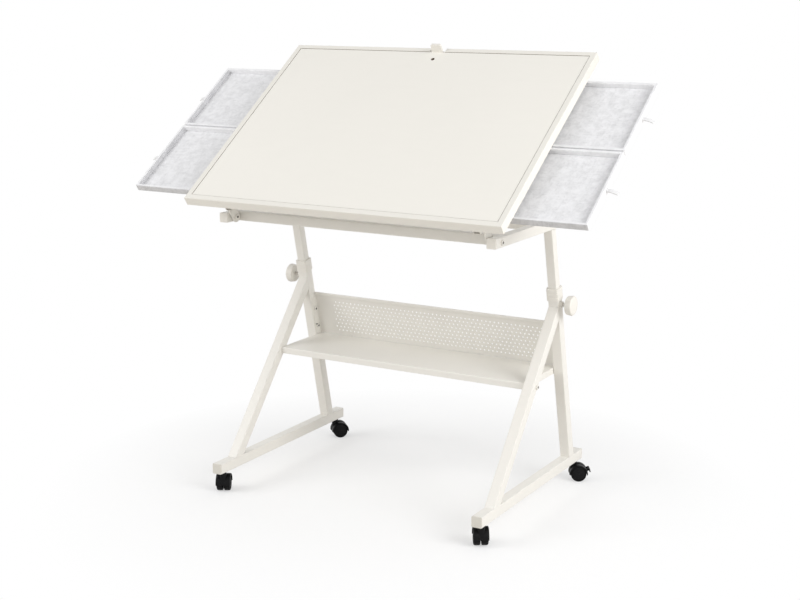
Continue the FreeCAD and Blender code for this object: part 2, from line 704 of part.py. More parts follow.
def side_bearer():
    """The right-hand front-to-back bearer below the runners; the prop hangs on it."""
    start, end = bearer_ends()
    bearer = along_y(square_tube(BEARER, BEARER_WALL, RAIL_CORNER, end - start))
    bearer = placed(bearer, BEARER_OUTER_X - BEARER / 2, start, BEARER_MID)
    bore = across(hole, PROP_PIN + 2 * PIVOT_RUN, BEARER_OUTER_X - 2 * BEARER, BEARER_OUTER_X + BEARER,
                  PROP_REACH, BEARER_MID)
    return bearer.cut(bore)


def hinge_plate():
    """The right-hand hinge plate: a tongue from the bearer down to the pivot bolt."""
    width = HINGE_HALF_WIDTH
    top = BEARER_MID + BEARER / 2
    tongue = block(BEARER_OUTER_X, HINGE_OUTER_X, -width, width, 0, top)
    round_end = across(hole, 2 * width, BEARER_OUTER_X, HINGE_OUTER_X, 0, 0, ROUND_SIDES)
    reach = (BEARER_OUTER_X - HINGE_PLATE, HINGE_OUTER_X + HINGE_PLATE)
    bore = across(pin, PIVOT_BOLT + 2 * PIVOT_RUN, *reach, 0, 0)
    return fused([tongue, round_end]).cut(bore)


# Props, in the board's own frame with the guide pin where the board is at its tilt
def prop_arm():
    """The right-hand prop: a flat bar from the bearer to the guide slot in the rail."""
    swing = -2 * TILT - math.degrees(PROP_RISE)
    inner = BEARER_OUTER_X + PROP_SIDE_GAP
    outer = inner + PROP_THICK
    bar = block(inner, outer, 0, PROP_LENGTH, -PROP_WIDTH / 2, PROP_WIDTH / 2)
    ends = [across(hole, PROP_WIDTH, inner, outer, y, 0, ROUND_SIDES) for y in (0, PROP_LENGTH)]
    bore = across(pin, PROP_PIN + 2 * PIVOT_RUN, inner - PROP_THICK, outer + PROP_THICK, 0, 0)
    arm = fused([bar] + ends).cut(bore)
    head_x = RAIL_INNER_X + RAIL_WALL + GUIDE_END_GAP
    guide = fused([across(rod, GUIDE_PIN, outer, head_x, PROP_LENGTH, 0),
                   across(rod, GUIDE_HEAD, head_x, head_x + HEAD_THICK, PROP_LENGTH, 0)])
    arm = fused([arm, guide])
    arm.rotate(Vector(0, 0, 0), Vector(1, 0, 0), swing)
    return placed(arm, 0, PROP_REACH, BEARER_MID)


def prop_pin():
    """The right-hand pin that the prop hangs on, through the bearer."""
    inner = BEARER_OUTER_X - BEARER
    outer = BEARER_OUTER_X + 2 * PROP_SIDE_GAP + PROP_THICK
    bolt = bolt_along_x(PROP_PIN, 2 * PROP_PIN, HEAD_THICK, outer, inner, PROP_REACH, BEARER_MID)
    spacer = hexagon(2 * PROP_PIN, BEARER_OUTER_X, BEARER_OUTER_X + PROP_SIDE_GAP, PROP_REACH, BEARER_MID)
    return fused([bolt, spacer])


# Sorting trays, in the board's own frame, as right-hand trays pulled out by a distance
def tray_span(pulled):
    """The X of a tray's inner and outer ends."""
    outer = TOP_WIDTH / 2 + pulled
    return outer - TRAY_LENGTH, outer


def tray_shell(start, pulled):
    """A shallow tray with thick felt-covered walls."""
    inner, outer = tray_span(pulled)
    front = from_front(start)
    body = square_bar(TRAY_LENGTH, TRAY_DEPTH, TRAY_CORNER, TRAY_HEIGHT)
    half_x, half_y = TRAY_LENGTH / 2 - TRAY_WALL, TRAY_DEPTH / 2 - TRAY_WALL
    body = body.cut(block(-half_x, half_x, -half_y, half_y, TRAY_FLOOR, TRAY_HEIGHT))
    return placed(body, (inner + outer) / 2, front + TRAY_DEPTH / 2, TRAY_BOTTOM)


def tray_lining(start, pulled):
    """The loose felt sheet on a tray's floor."""
    inner, outer = tray_span(pulled)
    margin = TRAY_WALL + LINING_GAP
    front, rear = from_front(start) + margin, from_front(start + TRAY_DEPTH) - margin
    floor = TRAY_BOTTOM + TRAY_FLOOR
    return block(inner + margin, outer - margin, front, rear, floor, floor + LINING_THICK)


def tray_pull(start, pulled):
    """The small bent finger pull on the middle of a tray's outer end."""
    outer = tray_span(pulled)[1]
    middle = from_front(start) + TRAY_DEPTH / 2
    root = TRAY_BOTTOM + TRAY_HEIGHT / 2 + PULL_THICK / 2
    low = root - PULL_THICK
    upper = []
    for step in range(PULL_STEPS + 1):
        share = step / PULL_STEPS
        upper.append((outer + PULL_REACH * share, 0, root - PULL_DROP * share ** 2))
    lower = [(x, y, z - PULL_THICK) for x, y, z in reversed(upper)]
    blade = plate(upper + lower, PULL_WIDTH, (0, 1, 0))
    back = block(outer, outer + PULL_BACK, 0, PULL_WIDTH, low - PULL_THICK, root + PULL_THICK)
    return placed(fused([blade, back]), 0, middle - PULL_WIDTH / 2, 0)


# Clamp knobs
def clamp_knob():
    """The right-hand clamp knob: a tapered skirt of grip flats under a cap domed in steps."""
    at = post_point(KNOB_HEIGHT)
    base = FRAME_X + TUBE / 2 + KNOB_OFFSET
    radius = KNOB_DIAMETER / 2
    levels = [(0, radius * KNOB_TAPER), (KNOB_SKIRT, radius)]
    for step in range(1, KNOB_DOME_STEPS + 1):
        angle = math.pi / 2 * step / (KNOB_DOME_STEPS + 1)
        levels.append((KNOB_SKIRT + KNOB_DOME * math.sin(angle), radius * math.cos(angle)))
    knob = along_x(ring_solid([flats_ring(size, KNOB_SIDES, height) for height, size in levels]))
    knob = placed(knob, base, at.y, at.z)
    return knob.cut(across(hole, STUD_DIAMETER, base - KNOB_SKIRT, base + KNOB_SKIRT / 2, at.y, at.z))


def clamp_stud():
    """The right-hand stud: fixed in the knob, through the boss and the post's wall."""
    at = post_point(KNOB_HEIGHT)
    tip = FRAME_X + INNER_TUBE / 2 + COLLAR_GAP
    seat = FRAME_X + TUBE / 2 + KNOB_OFFSET + KNOB_SKIRT / 2
    return across(pin, STUD_DIAMETER, tip, seat, at.y, at.z)


# Casters, each in a frame with the swivel axis as Z, the floor as Z = 0 and the trail along +X
def crosswise(make, diameter, x, z, y_min, y_max, *sides):
    """A pin, rod or hole along Y."""
    return make(diameter, Vector(x, y_min, z), Vector(x, y_max, z), *sides)


def wheel_pair():
    """Two wheels, bevelled outside, pressed on one axle."""
    reach = WEB_THICK / 2 + WHEEL_GAP + WHEEL_WIDTH
    around = WHEEL_RADIUS / math.cos(math.pi / ROUND_SIDES)
    levels = [(around, 0), (around, WHEEL_WIDTH - WHEEL_CHAMFER), (around - WHEEL_CHAMFER, WHEEL_WIDTH)]
    outer_wheel = along_y(ring_solid([flats_ring(radius, ROUND_SIDES, height) for radius, height in levels]))
    outer_wheel = placed(outer_wheel, TRAIL, WEB_THICK / 2 + WHEEL_GAP, WHEEL_RADIUS)
    inner_wheel = outer_wheel.mirror(Vector(0, 0, 0), Vector(0, 1, 0))
    axle = crosswise(pin, AXLE_DIAMETER, TRAIL, WHEEL_RADIUS, -reach, reach)
    return fused([axle, outer_wheel, inner_wheel])


def pedal_pivot():
    """The X and Z of the brake pedal's pin, just outside the hood."""
    reach = WHEEL_RADIUS + HOOD_GAP + HOOD_WALL + PEDAL_HUB / 2 + PEDAL_GAP
    angle = math.radians(PEDAL_ANGLE)
    return TRAIL + reach * math.cos(angle), WHEEL_RADIUS + reach * math.sin(angle)


def caster_hood(braked):
    """The hood: an arch over both wheels, a web between them, and the swivel boss and stem."""
    rim = WHEEL_RADIUS
    clear = rim + HOOD_GAP
    outer = clear + HOOD_WALL
    half = WEB_THICK / 2 + WHEEL_GAP + WHEEL_WIDTH + WHEEL_GAP
    arch = crosswise(hole, 2 * outer, TRAIL, rim, -half, half, ROUND_SIDES)
    arch = arch.cut(block(-FAR, FAR, -FAR, FAR, -FAR, rim - HOOD_DROP))
    boss_top = CASTER_HEIGHT - SWIVEL_GAP
    solids = [arch, rod(SWIVEL_BOSS, Vector(0, 0, rim), Vector(0, 0, boss_top))]
    pin_x, pin_z = pedal_pivot()
    near = PEDAL_WIDTH / 2 + PEDAL_GAP
    if braked:
        ear = crosswise(rod, PEDAL_HUB, pin_x, pin_z, near, near + PEDAL_EAR)
        neck = Part.makeBox(PEDAL_HUB, PEDAL_EAR, PEDAL_HUB, Vector(-PEDAL_HUB, near, -PEDAL_HUB / 2))
        neck.rotate(Vector(0, 0, 0), Vector(0, 1, 0), -PEDAL_ANGLE)
        neck.translate(Vector(pin_x, 0, pin_z))
        for piece in (ear, neck):
            solids += [piece, piece.mirror(Vector(0, 0, 0), Vector(0, 1, 0))]
    hood = fused(solids)
    for y_min, y_max in ((-FAR, -WEB_THICK / 2), (WEB_THICK / 2, FAR)):
        hood = hood.cut(crosswise(hole, 2 * clear, TRAIL, rim, y_min, y_max, ROUND_SIDES))
    hub = crosswise(rod, 2 * AXLE_DIAMETER, TRAIL, rim, -WEB_THICK / 2, WEB_THICK / 2)
    stem = pin(STEM_DIAMETER, Vector(0, 0, boss_top), Vector(0, 0, boss_top + STEM_LENGTH))
    hood = fused([hood, hub, stem])
    hood = hood.cut(crosswise(hole, AXLE_DIAMETER + 2 * AXLE_RUN, TRAIL, rim, -half, half))
    if braked:
        hood = hood.cut(crosswise(hole, PEDAL_PIN + 2 * AXLE_RUN, pin_x, pin_z, -half, half))
    return hood


def brake_pedal():
    """The brake pedal: a hub on its pin with a blade that slopes away from the hood."""
    pin_x, pin_z = pedal_pivot()
    half = PEDAL_WIDTH / 2
    hub = crosswise(rod, PEDAL_HUB, pin_x, pin_z, -half, half)
    blade = square_bar(2 * PEDAL_REACH, PEDAL_WIDTH, PEDAL_WIDTH / 4, PEDAL_THICK)
    blade = blade.cut(block(-FAR, 0, -FAR, FAR, -FAR, FAR))
    blade.rotate(Vector(0, 0, 0), Vector(0, 1, 0), PEDAL_DROOP)
    blade.translate(Vector(pin_x, 0, pin_z))
    pin_half = half + PEDAL_GAP + PEDAL_EAR
    return fused([hub, blade, crosswise(pin, PEDAL_PIN, pin_x, pin_z, -pin_half, pin_half)])


def under_corner(shape, corner):
    """Set a caster piece under a corner of the base, turned to its heading."""
    end, side = corner.split("_")
    moved = shape.copy()
    moved.rotate(Vector(0, 0, 0), Vector(0, 0, 1), CASTER_HEADINGS[corner])
    stem_y = FOOT_LENGTH / 2 - CASTER_INSET
    moved.translate(Vector(SIDES[side] * FRAME_X, stem_y if end == "rear" else -stem_y, 0))
    return moved


def all_nodes():
    """Every piece of the table by name."""
    nodes = {
        "foot_bar_caps": foot_caps(),
        "shelf_plate": shelf_plate(),
        "back_panel": back_panel(),
        "shelf_bolts": both_sides(shelf_bolts()),
        "rail_caps": rail_caps(),
        "front_rail": cross_rail(FRONT_RAIL_FACE),
        "rear_rail": cross_rail(REAR_RAIL_FACE),
        "pivot_bolts": both_sides(pivot_bolt()),
        "board_frame": tilted(board_frame()),
        "cover_panel": tilted(cover_panel()),
        "cover_tab": tilted(cover_tab()),
        "front_bearer": tilted(edge_runner(from_front(TRAY_STARTS["front"]), -1)),
        "rear_bearer": tilted(edge_runner(from_front(TRAY_STARTS["rear"] + TRAY_DEPTH), 1)),
        "middle_runner": tilted(middle_runner()),
        "tray_stops": tilted(tray_stops()),
        "prop_pins": both_sides(tilted(prop_pin())),
        "post_collars": both_sides(post_collar()),
        "clamp_bosses": both_sides(clamp_boss()),
        "panel_ears": both_sides(panel_ear()),
        "hinge_plates": both_sides(tilted(hinge_plate())),
    }
    right_hand = {
        "foot_bar": foot_bar(),
        "front_leg": front_leg(),
        "rear_post": rear_post(),
        "side_rail": side_rail(),
        "inner_tube": inner_tube(),
        "side_bearer": tilted(side_bearer()),
        "tilt_prop": tilted(prop_arm()),
        "clamp_knob": clamp_knob(),
        "clamp_stud": clamp_stud(),
    }
    pulled = {"left": LEFT_PULLED, "right": RIGHT_PULLED}
    for side_name, side in SIDES.items():
        for name, shape in right_hand.items():
            nodes[name + "_" + side_name] = mirrored(shape, side)
        for place, start in TRAY_STARTS.items():
            for name, make in (("tray", tray_shell), ("tray_lining", tray_lining), ("tray_pull", tray_pull)):
                node = name + "_" + place + "_" + side_name
                nodes[node] = mirrored(tilted(make(start, pulled[side_name])), side)
    for corner in CASTER_HEADINGS:
        braked = corner.endswith("right")
        nodes["caster_hood_" + corner] = under_corner(caster_hood(braked), corner)
        nodes["caster_wheels_" + corner] = under_corner(wheel_pair(), corner)
        if braked:
            nodes["brake_pedal_" + corner] = under_corner(brake_pedal(), corner)
    return nodes


def main():
    """Build every piece, set the origin below the middle of the table, and write the files."""
    nodes = all_nodes()
    bounds = Part.makeCompound(list(nodes.values())).optimalBoundingBox(False, False)
    to_origin = Vector(-bounds.Center.x, -bounds.Center.y, 0)
    os.makedirs("parts", exist_ok=True)
    for name, shape in nodes.items():
        shape.translate(to_origin)
        shape.exportStep("parts/" + name + ".step")
    print(len(nodes), "pieces, origin moved by", to_origin)


main()
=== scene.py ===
import json
import logging
import math
from collections.abc import Iterable
from dataclasses import dataclass
from enum import Enum
from functools import cache

import bmesh
import bpy
from mathutils import Matrix, Vector, noise


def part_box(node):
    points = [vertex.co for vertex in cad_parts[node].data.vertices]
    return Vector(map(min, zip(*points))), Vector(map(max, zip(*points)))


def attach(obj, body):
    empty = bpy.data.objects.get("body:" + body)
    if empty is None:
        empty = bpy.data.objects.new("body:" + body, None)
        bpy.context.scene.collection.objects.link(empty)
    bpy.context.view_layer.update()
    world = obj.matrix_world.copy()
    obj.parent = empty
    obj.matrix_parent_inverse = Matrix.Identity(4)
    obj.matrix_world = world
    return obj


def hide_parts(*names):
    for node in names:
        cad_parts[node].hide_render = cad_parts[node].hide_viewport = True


# The looks of a jigsaw puzzle table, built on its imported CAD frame. Metres, +Z up.
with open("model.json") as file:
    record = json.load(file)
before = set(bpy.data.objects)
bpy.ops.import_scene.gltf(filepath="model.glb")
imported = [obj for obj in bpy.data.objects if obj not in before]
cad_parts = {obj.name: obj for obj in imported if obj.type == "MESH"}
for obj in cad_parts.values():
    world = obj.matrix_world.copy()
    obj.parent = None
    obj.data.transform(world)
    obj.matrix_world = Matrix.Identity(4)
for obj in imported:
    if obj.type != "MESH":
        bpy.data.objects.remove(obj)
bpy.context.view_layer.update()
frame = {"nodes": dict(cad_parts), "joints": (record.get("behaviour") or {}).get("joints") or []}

LOG = logging.getLogger("jigsaw_table")
MILLIMETRE = 0.001
MERGE_DISTANCE = 1e-6
FLAT_ANGLE = math.radians(1.0)
SHARP_ANGLE = math.radians(35.0)
SMOOTH_ANGLE = math.radians(50.0)

# Number of a piece's second finish, as its faces name it
SECOND_FINISH = 1

Triple = tuple[float, float, float]
Colour = Triple
Profile = list[tuple[float, float]]
WHITE: Colour = (1.0, 1.0, 1.0)


class Field:
    """A value that changes over a surface: a node's output that takes part in arithmetic."""

    def __init__(self, graph: "Graph", socket: bpy.types.NodeSocket) -> None:
        """Wrap an output socket of a node tree."""
        self.graph = graph
        self.socket = socket

    def _math(self, operation: str, first: "Field | float", second: "Field | float") -> "Field":
        """Add one Math node."""
        return self.graph.add("ShaderNodeMath", {"operation": operation}, {0: first, 1: second})

    def __add__(self, other: "Field | float") -> "Field":
        """This value plus another."""
        return self._math("ADD", self, other)

    __radd__ = __add__

    def __sub__(self, other: "Field | float") -> "Field":
        """This value less another."""
        return self._math("SUBTRACT", self, other)

    def __rsub__(self, other: float) -> "Field":
        """A number less this value."""
        return self._math("SUBTRACT", other, self)

    def __mul__(self, other: "Field | float") -> "Field":
        """This value times another."""
        return self._math("MULTIPLY", self, other)

    __rmul__ = __mul__


class Graph:
    """A node tree that is filled by one method."""

    # Numbers of the Mix node's two colour inputs and its colour output
    MIX_LOW = 6
    MIX_HIGH = 7
    MIX_RESULT = 2

    def __init__(self, tree: bpy.types.NodeTree) -> None:
        """Take over a node tree."""
        self.tree = tree

    def add(self, kind: str, settings: dict | None = None, inputs: dict | None = None,
            output: int | str = 0) -> Field:
        """Add any node.

        Args:
            kind: The node's type.
            settings: The node's own settings, set before its sockets.
            inputs: Values or links of its sockets by name or number.
            output: The output that is wanted.

        Returns:
            The wanted output as a field.
        """
        node = self.tree.nodes.new(kind)
        for name, value in (settings or {}).items():
            setattr(node, name, value)
        for key, value in (inputs or {}).items():
            self.feed(node.inputs[key], value)
        return Field(self, node.outputs[output])

    def feed(self, socket: bpy.types.NodeSocket, value: "Field | float | tuple") -> None:
        """Link a field to a socket, or set the socket's own value.

        Args:
            socket: The input socket.
            value: A field, a number, a colour or a vector.
        """
        if isinstance(value, Field):
            self.tree.links.new(value.socket, socket)
        elif isinstance(value, tuple) and len(value) == 3 and socket.type == "RGBA":
            socket.default_value = (*value, 1.0)
        else:
            socket.default_value = value

    def surface(self, socket: str, value: "Field | float") -> None:
        """Link or set one of the values of a material's surface."""
        self.feed(self.tree.nodes["Principled BSDF"].inputs[socket], value)

    def cloud(self, scale: float, detail: float = 3.0, rough: float = 0.55,
              stretch: Triple = (1, 1, 1)) -> Field:
        """Add soft noise over the object's own coordinates.

        Args:
            scale: How fine the noise is.
            detail: Octaves of finer noise in it.
            rough: Strength of each finer octave.
            stretch: Factors on the coordinates; less than 1 draws the noise out along an axis.

        Returns:
            The noise, from 0 to 1.
        """
        place = self.add("ShaderNodeTexCoord", output="Object")
        spread = self.add("ShaderNodeMapping", None, {"Vector": place, "Scale": stretch})
        return self.add("ShaderNodeTexNoise", None,
                        {"Vector": spread, "Scale": scale, "Detail": detail, "Roughness": rough})

    def blend(self, amount: Field, low: "Colour | Field", high: "Colour | Field") -> Field:
        """A colour between two colours."""
        return self.add("ShaderNodeMix", {"data_type": "RGBA"},
                        {"Factor": amount, self.MIX_LOW: low, self.MIX_HIGH: high}, self.MIX_RESULT)

    def ramp(self, amount: Field, start: float, end: float) -> Field:
        """Stretch a part of a field's range to 0 to 1."""
        return self.add("ShaderNodeMapRange", None, {"Value": amount, "From Min": start, "From Max": end})


def tinted(colour: Colour, factor: float) -> Colour:
    """A colour made lighter or darker."""
    return tuple(min(1.0, channel * factor) for channel in colour)


@dataclass(frozen=True)
class Finish:
    """What every finish has: a name, a colour, a roughness and a micro relief.

    Attributes:
        name: The material's name.
        slot: The record's material slot that it belongs to. Not used.
        colour: Its middle colour.
        roughness: Its middle roughness.
        mottle: How far the colour swings, as a share.
        relief: Height of the relief in metres.
    """

    name: str
    slot: str
    colour: Colour
    roughness: float
    mottle: float
    relief: float = 0.00004

    @cache
    def material(self) -> bpy.types.Material:
        """Make the finish's material, once.

        Returns:
            The material.
        """
        made = bpy.data.materials.new(self.name)
        made.use_nodes = True
        self.paint(Graph(made.node_tree))
        return made

    def paint(self, graph: Graph) -> None:
        """Fill the material's nodes.

        Args:
            graph: The material's node tree.
        """
        raise NotImplementedError

    def mottled(self, graph: Graph, tone: Field) -> None:
        """Swing the colour both ways.

        Args:
            graph: The material's node tree.
            tone: 0 where the colour is darkest, 1 where it is lightest.
        """
        dark = tinted(self.colour, 1 - self.mottle)
        light = tinted(self.colour, 1 + self.mottle)
        graph.surface("Base Color", graph.blend(tone, dark, light))

    def roughened(self, graph: Graph, change: Field, swing: float) -> None:
        """Swing the roughness round its middle with a field from 0 to 1."""
        graph.surface("Roughness", self.roughness - swing / 2 + change * swing)

    def embossed(self, graph: Graph, height: Field, strength: float) -> None:
        """Raise a field as relief."""
        graph.surface("Normal", graph.add("ShaderNodeBump", None, {
            "Strength": strength, "Distance": self.relief, "Height": height}))


@dataclass(frozen=True)
class PowderCoat(Finish):
    """Baked powder paint: a fine orange peel with a soft gloss.

    Attributes:
        peel_scale: How fine the peel is.
    """

    peel_scale: float = 750.0

    def paint(self, graph: Graph) -> None:
        """Broad tone changes, finer ones in the gloss, and the peel as relief.

        Args:
            graph: The material's node tree.
        """
        broad = graph.cloud(7.0, detail=4.0)
        rubbed = graph.cloud(38.0, detail=5.0, rough=0.6)
        peel = graph.cloud(self.peel_scale, detail=2.0, rough=0.5)
        self.mottled(graph, graph.ramp(broad * 0.7 + rubbed * 0.3, start=0.3, end=0.7))
        self.roughened(graph, rubbed, swing=0.12)
        self.embossed(graph, peel, strength=0.35)


@dataclass(frozen=True)
class Laminate(Finish):
    """Matt paper laminate on board: almost even, with faint cloudy fibres and a pressed pearl texture.

    Attributes:
        shine: Strength of its mirrored light.
    """

    shine: float = 0.03

    def paint(self, graph: Graph) -> None:
        """Cloudy tone, drawn-out fibres and a pressed relief.

        Args:
            graph: The material's node tree.
        """
        graph.surface("Specular IOR Level", self.shine)
        broad = graph.cloud(4.0, detail=5.0)
        fibre = graph.cloud(60.0, detail=4.0, rough=0.6, stretch=(0.25, 1.0, 1.0))
        pearl = graph.cloud(520.0, detail=1.0)
        self.mottled(graph, graph.ramp(broad * 0.6 + fibre * 0.4, start=0.32, end=0.68))
        self.roughened(graph, fibre, swing=0.1)
        self.embossed(graph, pearl, strength=0.25)


@dataclass(frozen=True)
class Felt(Finish):
    """Pressed grey felt: pale wool with darker blotches, short crossing fibres and a fuzzy relief.

    Attributes:
        sheen: Strength of the fuzz's soft shine.
    """

    sheen: float = 0.15

    def paint(self, graph: Graph) -> None:
        """Blotches, dark fibres in two directions and a fibrous relief.

        Args:
            graph: The material's node tree.
        """
        blotch = graph.ramp(graph.cloud(55.0, detail=6.0, rough=0.7), start=0.38, end=0.60)
        tuft = graph.cloud(150.0, detail=4.0, rough=0.65)
        flecks = graph.ramp(tuft, start=0.52, end=0.70)
        for stretch in ((0.2, 1.0, 1.0), (1.0, 0.2, 0.2)):
            flecks = flecks + graph.ramp(graph.cloud(170.0, rough=0.6, stretch=stretch), start=0.54, end=0.72)
        fibre = graph.cloud(1500.0, rough=0.7, stretch=(1.0, 0.35, 1.0))
        tone = 0.45 + blotch * 0.45 + fibre * 0.2 - flecks * 0.25
        dark = tinted(self.colour, 1 - 2 * self.mottle)
        light = tinted(self.colour, 1 + self.mottle / 3)
        graph.surface("Base Color", graph.blend(tone, dark, light))
        graph.surface("Sheen Weight", self.sheen)
        self.roughened(graph, fibre, swing=0.1)
        self.embossed(graph, fibre * 0.5 + tuft * 0.5, strength=0.6)


@dataclass(frozen=True)
class Moulding(Finish):
    """Injection-moulded plastic with a spark-eroded grain.

    Attributes:
        grain_scale: How fine the grain is.
        shine: Strength of its mirrored light.
    """

    grain_scale: float = 1400.0
    shine: float = 0.5

    def paint(self, graph: Graph) -> None:
        """Slight tone changes, scuffs in the gloss and the mould's grain as relief.

        Args:
            graph: The material's node tree.
        """
        graph.surface("Specular IOR Level", self.shine)
        broad = graph.cloud(30.0, detail=4.0)
        scuff = graph.cloud(160.0, detail=5.0, rough=0.65)
        grain = graph.cloud(self.grain_scale, detail=1.0)
        self.mottled(graph, graph.ramp(broad * 0.6 + scuff * 0.4, start=0.3, end=0.7))
        self.roughened(graph, scuff, swing=0.16)
        self.embossed(graph, grain, strength=0.4)


@dataclass(frozen=True)
class PlatedSteel(Finish):
    """Plated steel of fasteners and pins, with a fine turned texture."""

    def paint(self, graph: Graph) -> None:
        """Cloudy plating and fine scratches in the gloss.

        Args:
            graph: The material's node tree.
        """
        graph.surface("Metallic", 1.0)
        cloud = graph.cloud(120.0, detail=4.0)
        scratch = graph.cloud(900.0, rough=0.6, stretch=(0.15, 1.0, 1.0))
        self.mottled(graph, graph.ramp(cloud, start=0.3, end=0.7))
        self.roughened(graph, scratch, swing=0.2)
        self.embossed(graph, scratch, strength=0.3)


@dataclass(frozen=True)
class RawBoardAndGapShade(Finish):
    """The bare pressed-fibre core of the board, seen in gaps and under the lifted cover; its dark brown also
    paints the shade in the gap round the cover and in the lift hole.
    """

    def paint(self, graph: Graph) -> None:
        """Dark and light fibres.

        Args:
            graph: The material's node tree.
        """
        clump = graph.cloud(60.0, detail=5.0, rough=0.6)
        fibre = graph.cloud(700.0, detail=4.0, rough=0.7)
        self.mottled(graph, graph.ramp(clump * 0.4 + fibre * 0.6, start=0.3, end=0.7))
        self.roughened(graph, fibre, swing=0.1)
        self.embossed(graph, fibre, strength=0.5)


FRAME_PAINT = PowderCoat("frame_powder_coat", "frame_paint", (0.85, 0.83, 0.782), 0.42, 0.012)
BOARD_LAMINATE = Laminate("pressed_board_laminate", "board_laminate", (0.865, 0.842, 0.785), 0.6, 0.010)
COVER_LAMINATE = Laminate("pressed_cover_laminate", "cover_laminate", (0.90, 0.877, 0.82), 0.6, 0.008)
# The board's bare core, dark brown: partly its own colour, partly painted shade in the gap round the cover.
RAW_BOARD_AND_GAP_SHADE = RawBoardAndGapShade("raw_board", "board_laminate", (0.24, 0.185, 0.135), 0.85, 0.25, 0.0001)
TRAY_COVERING = Felt("tray_covering", "tray_board", (0.88, 0.88, 0.895), 0.9, 0.07, 0.0002)
# The tray felt darkened: painted shade for the trays' inner end walls and the outside of a front tray.
TRAY_WALL_PAINTED_SHADE = Felt("tray_wall_felt", "tray_board", (0.66, 0.66, 0.675), 0.9, 0.12, 0.0002)
TRAY_FELT = Felt("lining_felt", "tray_felt", (0.845, 0.845, 0.86), 0.95, 0.13, 0.00025)
WHITE_PLASTIC = Moulding("moulded_white", "white_plastic", (0.85, 0.825, 0.77), 0.38, 0.01)
CAP_PLASTIC = Moulding("moulded_end_cap", "white_plastic", (0.72, 0.697, 0.635), 0.42, 0.012)
PULL_PLASTIC = Moulding("moulded_pull", "white_plastic", (0.80, 0.80, 0.805), 0.35, 0.015)
BLACK_PLASTIC = Moulding("moulded_black", "black_plastic", (0.006, 0.006, 0.0063), 0.42, 0.15, 0.00005,
                         shine=0.12)
BLACK_TREAD = Moulding("black_tread", "wheel_rubber", (0.008, 0.008, 0.0084), 0.6, 0.2, 0.00008, shine=0.1)
# Near-black steel of the heads' sockets: partly the steel's own colour, partly painted shade in the recesses.
SOCKET_STEEL_AND_SHADE = PlatedSteel("socket_steel", "dark_steel", (0.05, 0.048, 0.045), 0.5, 0.2, 0.00002)
BRIGHT_STEEL = PlatedSteel("bright_plated_steel", "dark_steel", (0.62, 0.60, 0.57), 0.36, 0.08, 0.00002)


class Side(Enum):
    """The two sides of the table, as the user sees them."""

    LEFT = "left"
    RIGHT = "right"


class Row(Enum):
    """The two rows of trays, nearer to the user and farther away."""

    FRONT = "front"
    REAR = "rear"


class Corner(Enum):
    """The four corners of the base."""

    FRONT_LEFT = "front_left"
    FRONT_RIGHT = "front_right"
    REAR_LEFT = "rear_left"
    REAR_RIGHT = "rear_right"


def both(name: str) -> list[str]:
    """The left-hand and right-hand node of a name."""
    return [f"{name}_{side.value}" for side in Side]


def joint(name: str) -> dict:
    """A joint of the frame by name."""
    return next(entry for entry in frame["joints"] if entry["name"] == name)


def local_box(node: str, place: Matrix) -> tuple[Vector, Vector]:
    """The extents of a CAD node in a local frame.

    Args:
        node: The node's name.
        place: The local frame's place in the table's frame.

    Returns:
        The lowest and highest corner in the local frame.
    """
    inverse = place.inverted()
    points = [inverse @ vertex.co for vertex in frame["nodes"][node].data.vertices]
    low = Vector(min(point[axis] for point in points) for axis in range(3))
    high = Vector(max(point[axis] for point in points) for axis in range(3))
    return low, high


def board_place() -> Matrix:
    """Find the board's own frame.

    Returns:
        The tilt pivot's place, with Y up the slope and Z off the work surface.
    """
    normal = Vector(joint("cover_lift")["axis"])
    tilt = math.atan2(-normal.y, normal.z)
    return Matrix.Translation(joint("board_tilt")["pos_m"]) @ Matrix.Rotation(tilt, 4, "X")


def post_place(point: Vector) -> Matrix:
    """A frame that leans with the posts, at a point."""
    up = Vector(joint("height_slide")["axis"])
    return Matrix.Translation(point) @ Matrix.Rotation(math.atan2(-up.y, up.z), 4, "X")


def add_piece(name: str, shape: bmesh.types.BMesh, body: str, finishes: list[Finish],
              stands_for: Iterable[str] = ()) -> bpy.types.Object:
    """Make an object of a finished shape and hang it on a body.

    Args:
        name: The piece's name.
        shape: The shape, in the table's frame; it is freed.
        body: The body that it moves with.
        finishes: The finishes that its faces' numbers name.
        stands_for: CAD nodes that it takes the place of.

    Returns:
        The new object.
    """
    mesh = bpy.data.meshes.new(name)
    shape.to_mesh(mesh)
    shape.free()
    for finish in finishes:
        mesh.materials.append(finish.material())
    mesh.shade_smooth()
    mesh.set_sharp_from_angle(angle=SMOOTH_ANGLE)
    piece = bpy.data.objects.new(name, mesh)
    bpy.context.scene.collection.objects.link(piece)
    shading = piece.modifiers.new("flat_faces_stay_flat", "WEIGHTED_NORMAL")
    shading.keep_sharp = True
    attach(piece, body)
    nodes = list(stands_for)
    if nodes:
        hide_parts(*nodes)
    LOG.info("%s: %d faces on %s", name, len(mesh.polygons), body)
    return piece


def eased(node: str, edge: float, segments: int = 2) -> bmesh.types.BMesh:
    """A copy of a CAD node with its sharp edges rounded.

    Args:
        node: The node's name.
        edge: Width of the rounding.
        segments: Faces across the rounding.

    Returns:
        The rounded shape.
    """
    shape = bmesh.new()
    shape.from_mesh(frame["nodes"][node].data)
    bmesh.ops.remove_doubles(shape, verts=shape.verts, dist=MERGE_DISTANCE)
    bmesh.ops.dissolve_limit(shape, angle_limit=FLAT_ANGLE, verts=shape.verts, edges=shape.edges)
    sharp = [line for line in shape.edges if line.is_manifold and line.calc_face_angle() > SHARP_ANGLE]
    bmesh.ops.bevel(shape, geom=sharp, offset=edge, offset_type="OFFSET", affect="EDGES", segments=segments,
                    profile=0.5, material=-1, clamp_overlap=True)
    bmesh.ops.remove_doubles(shape, verts=shape.verts, dist=MERGE_DISTANCE)
    return shape


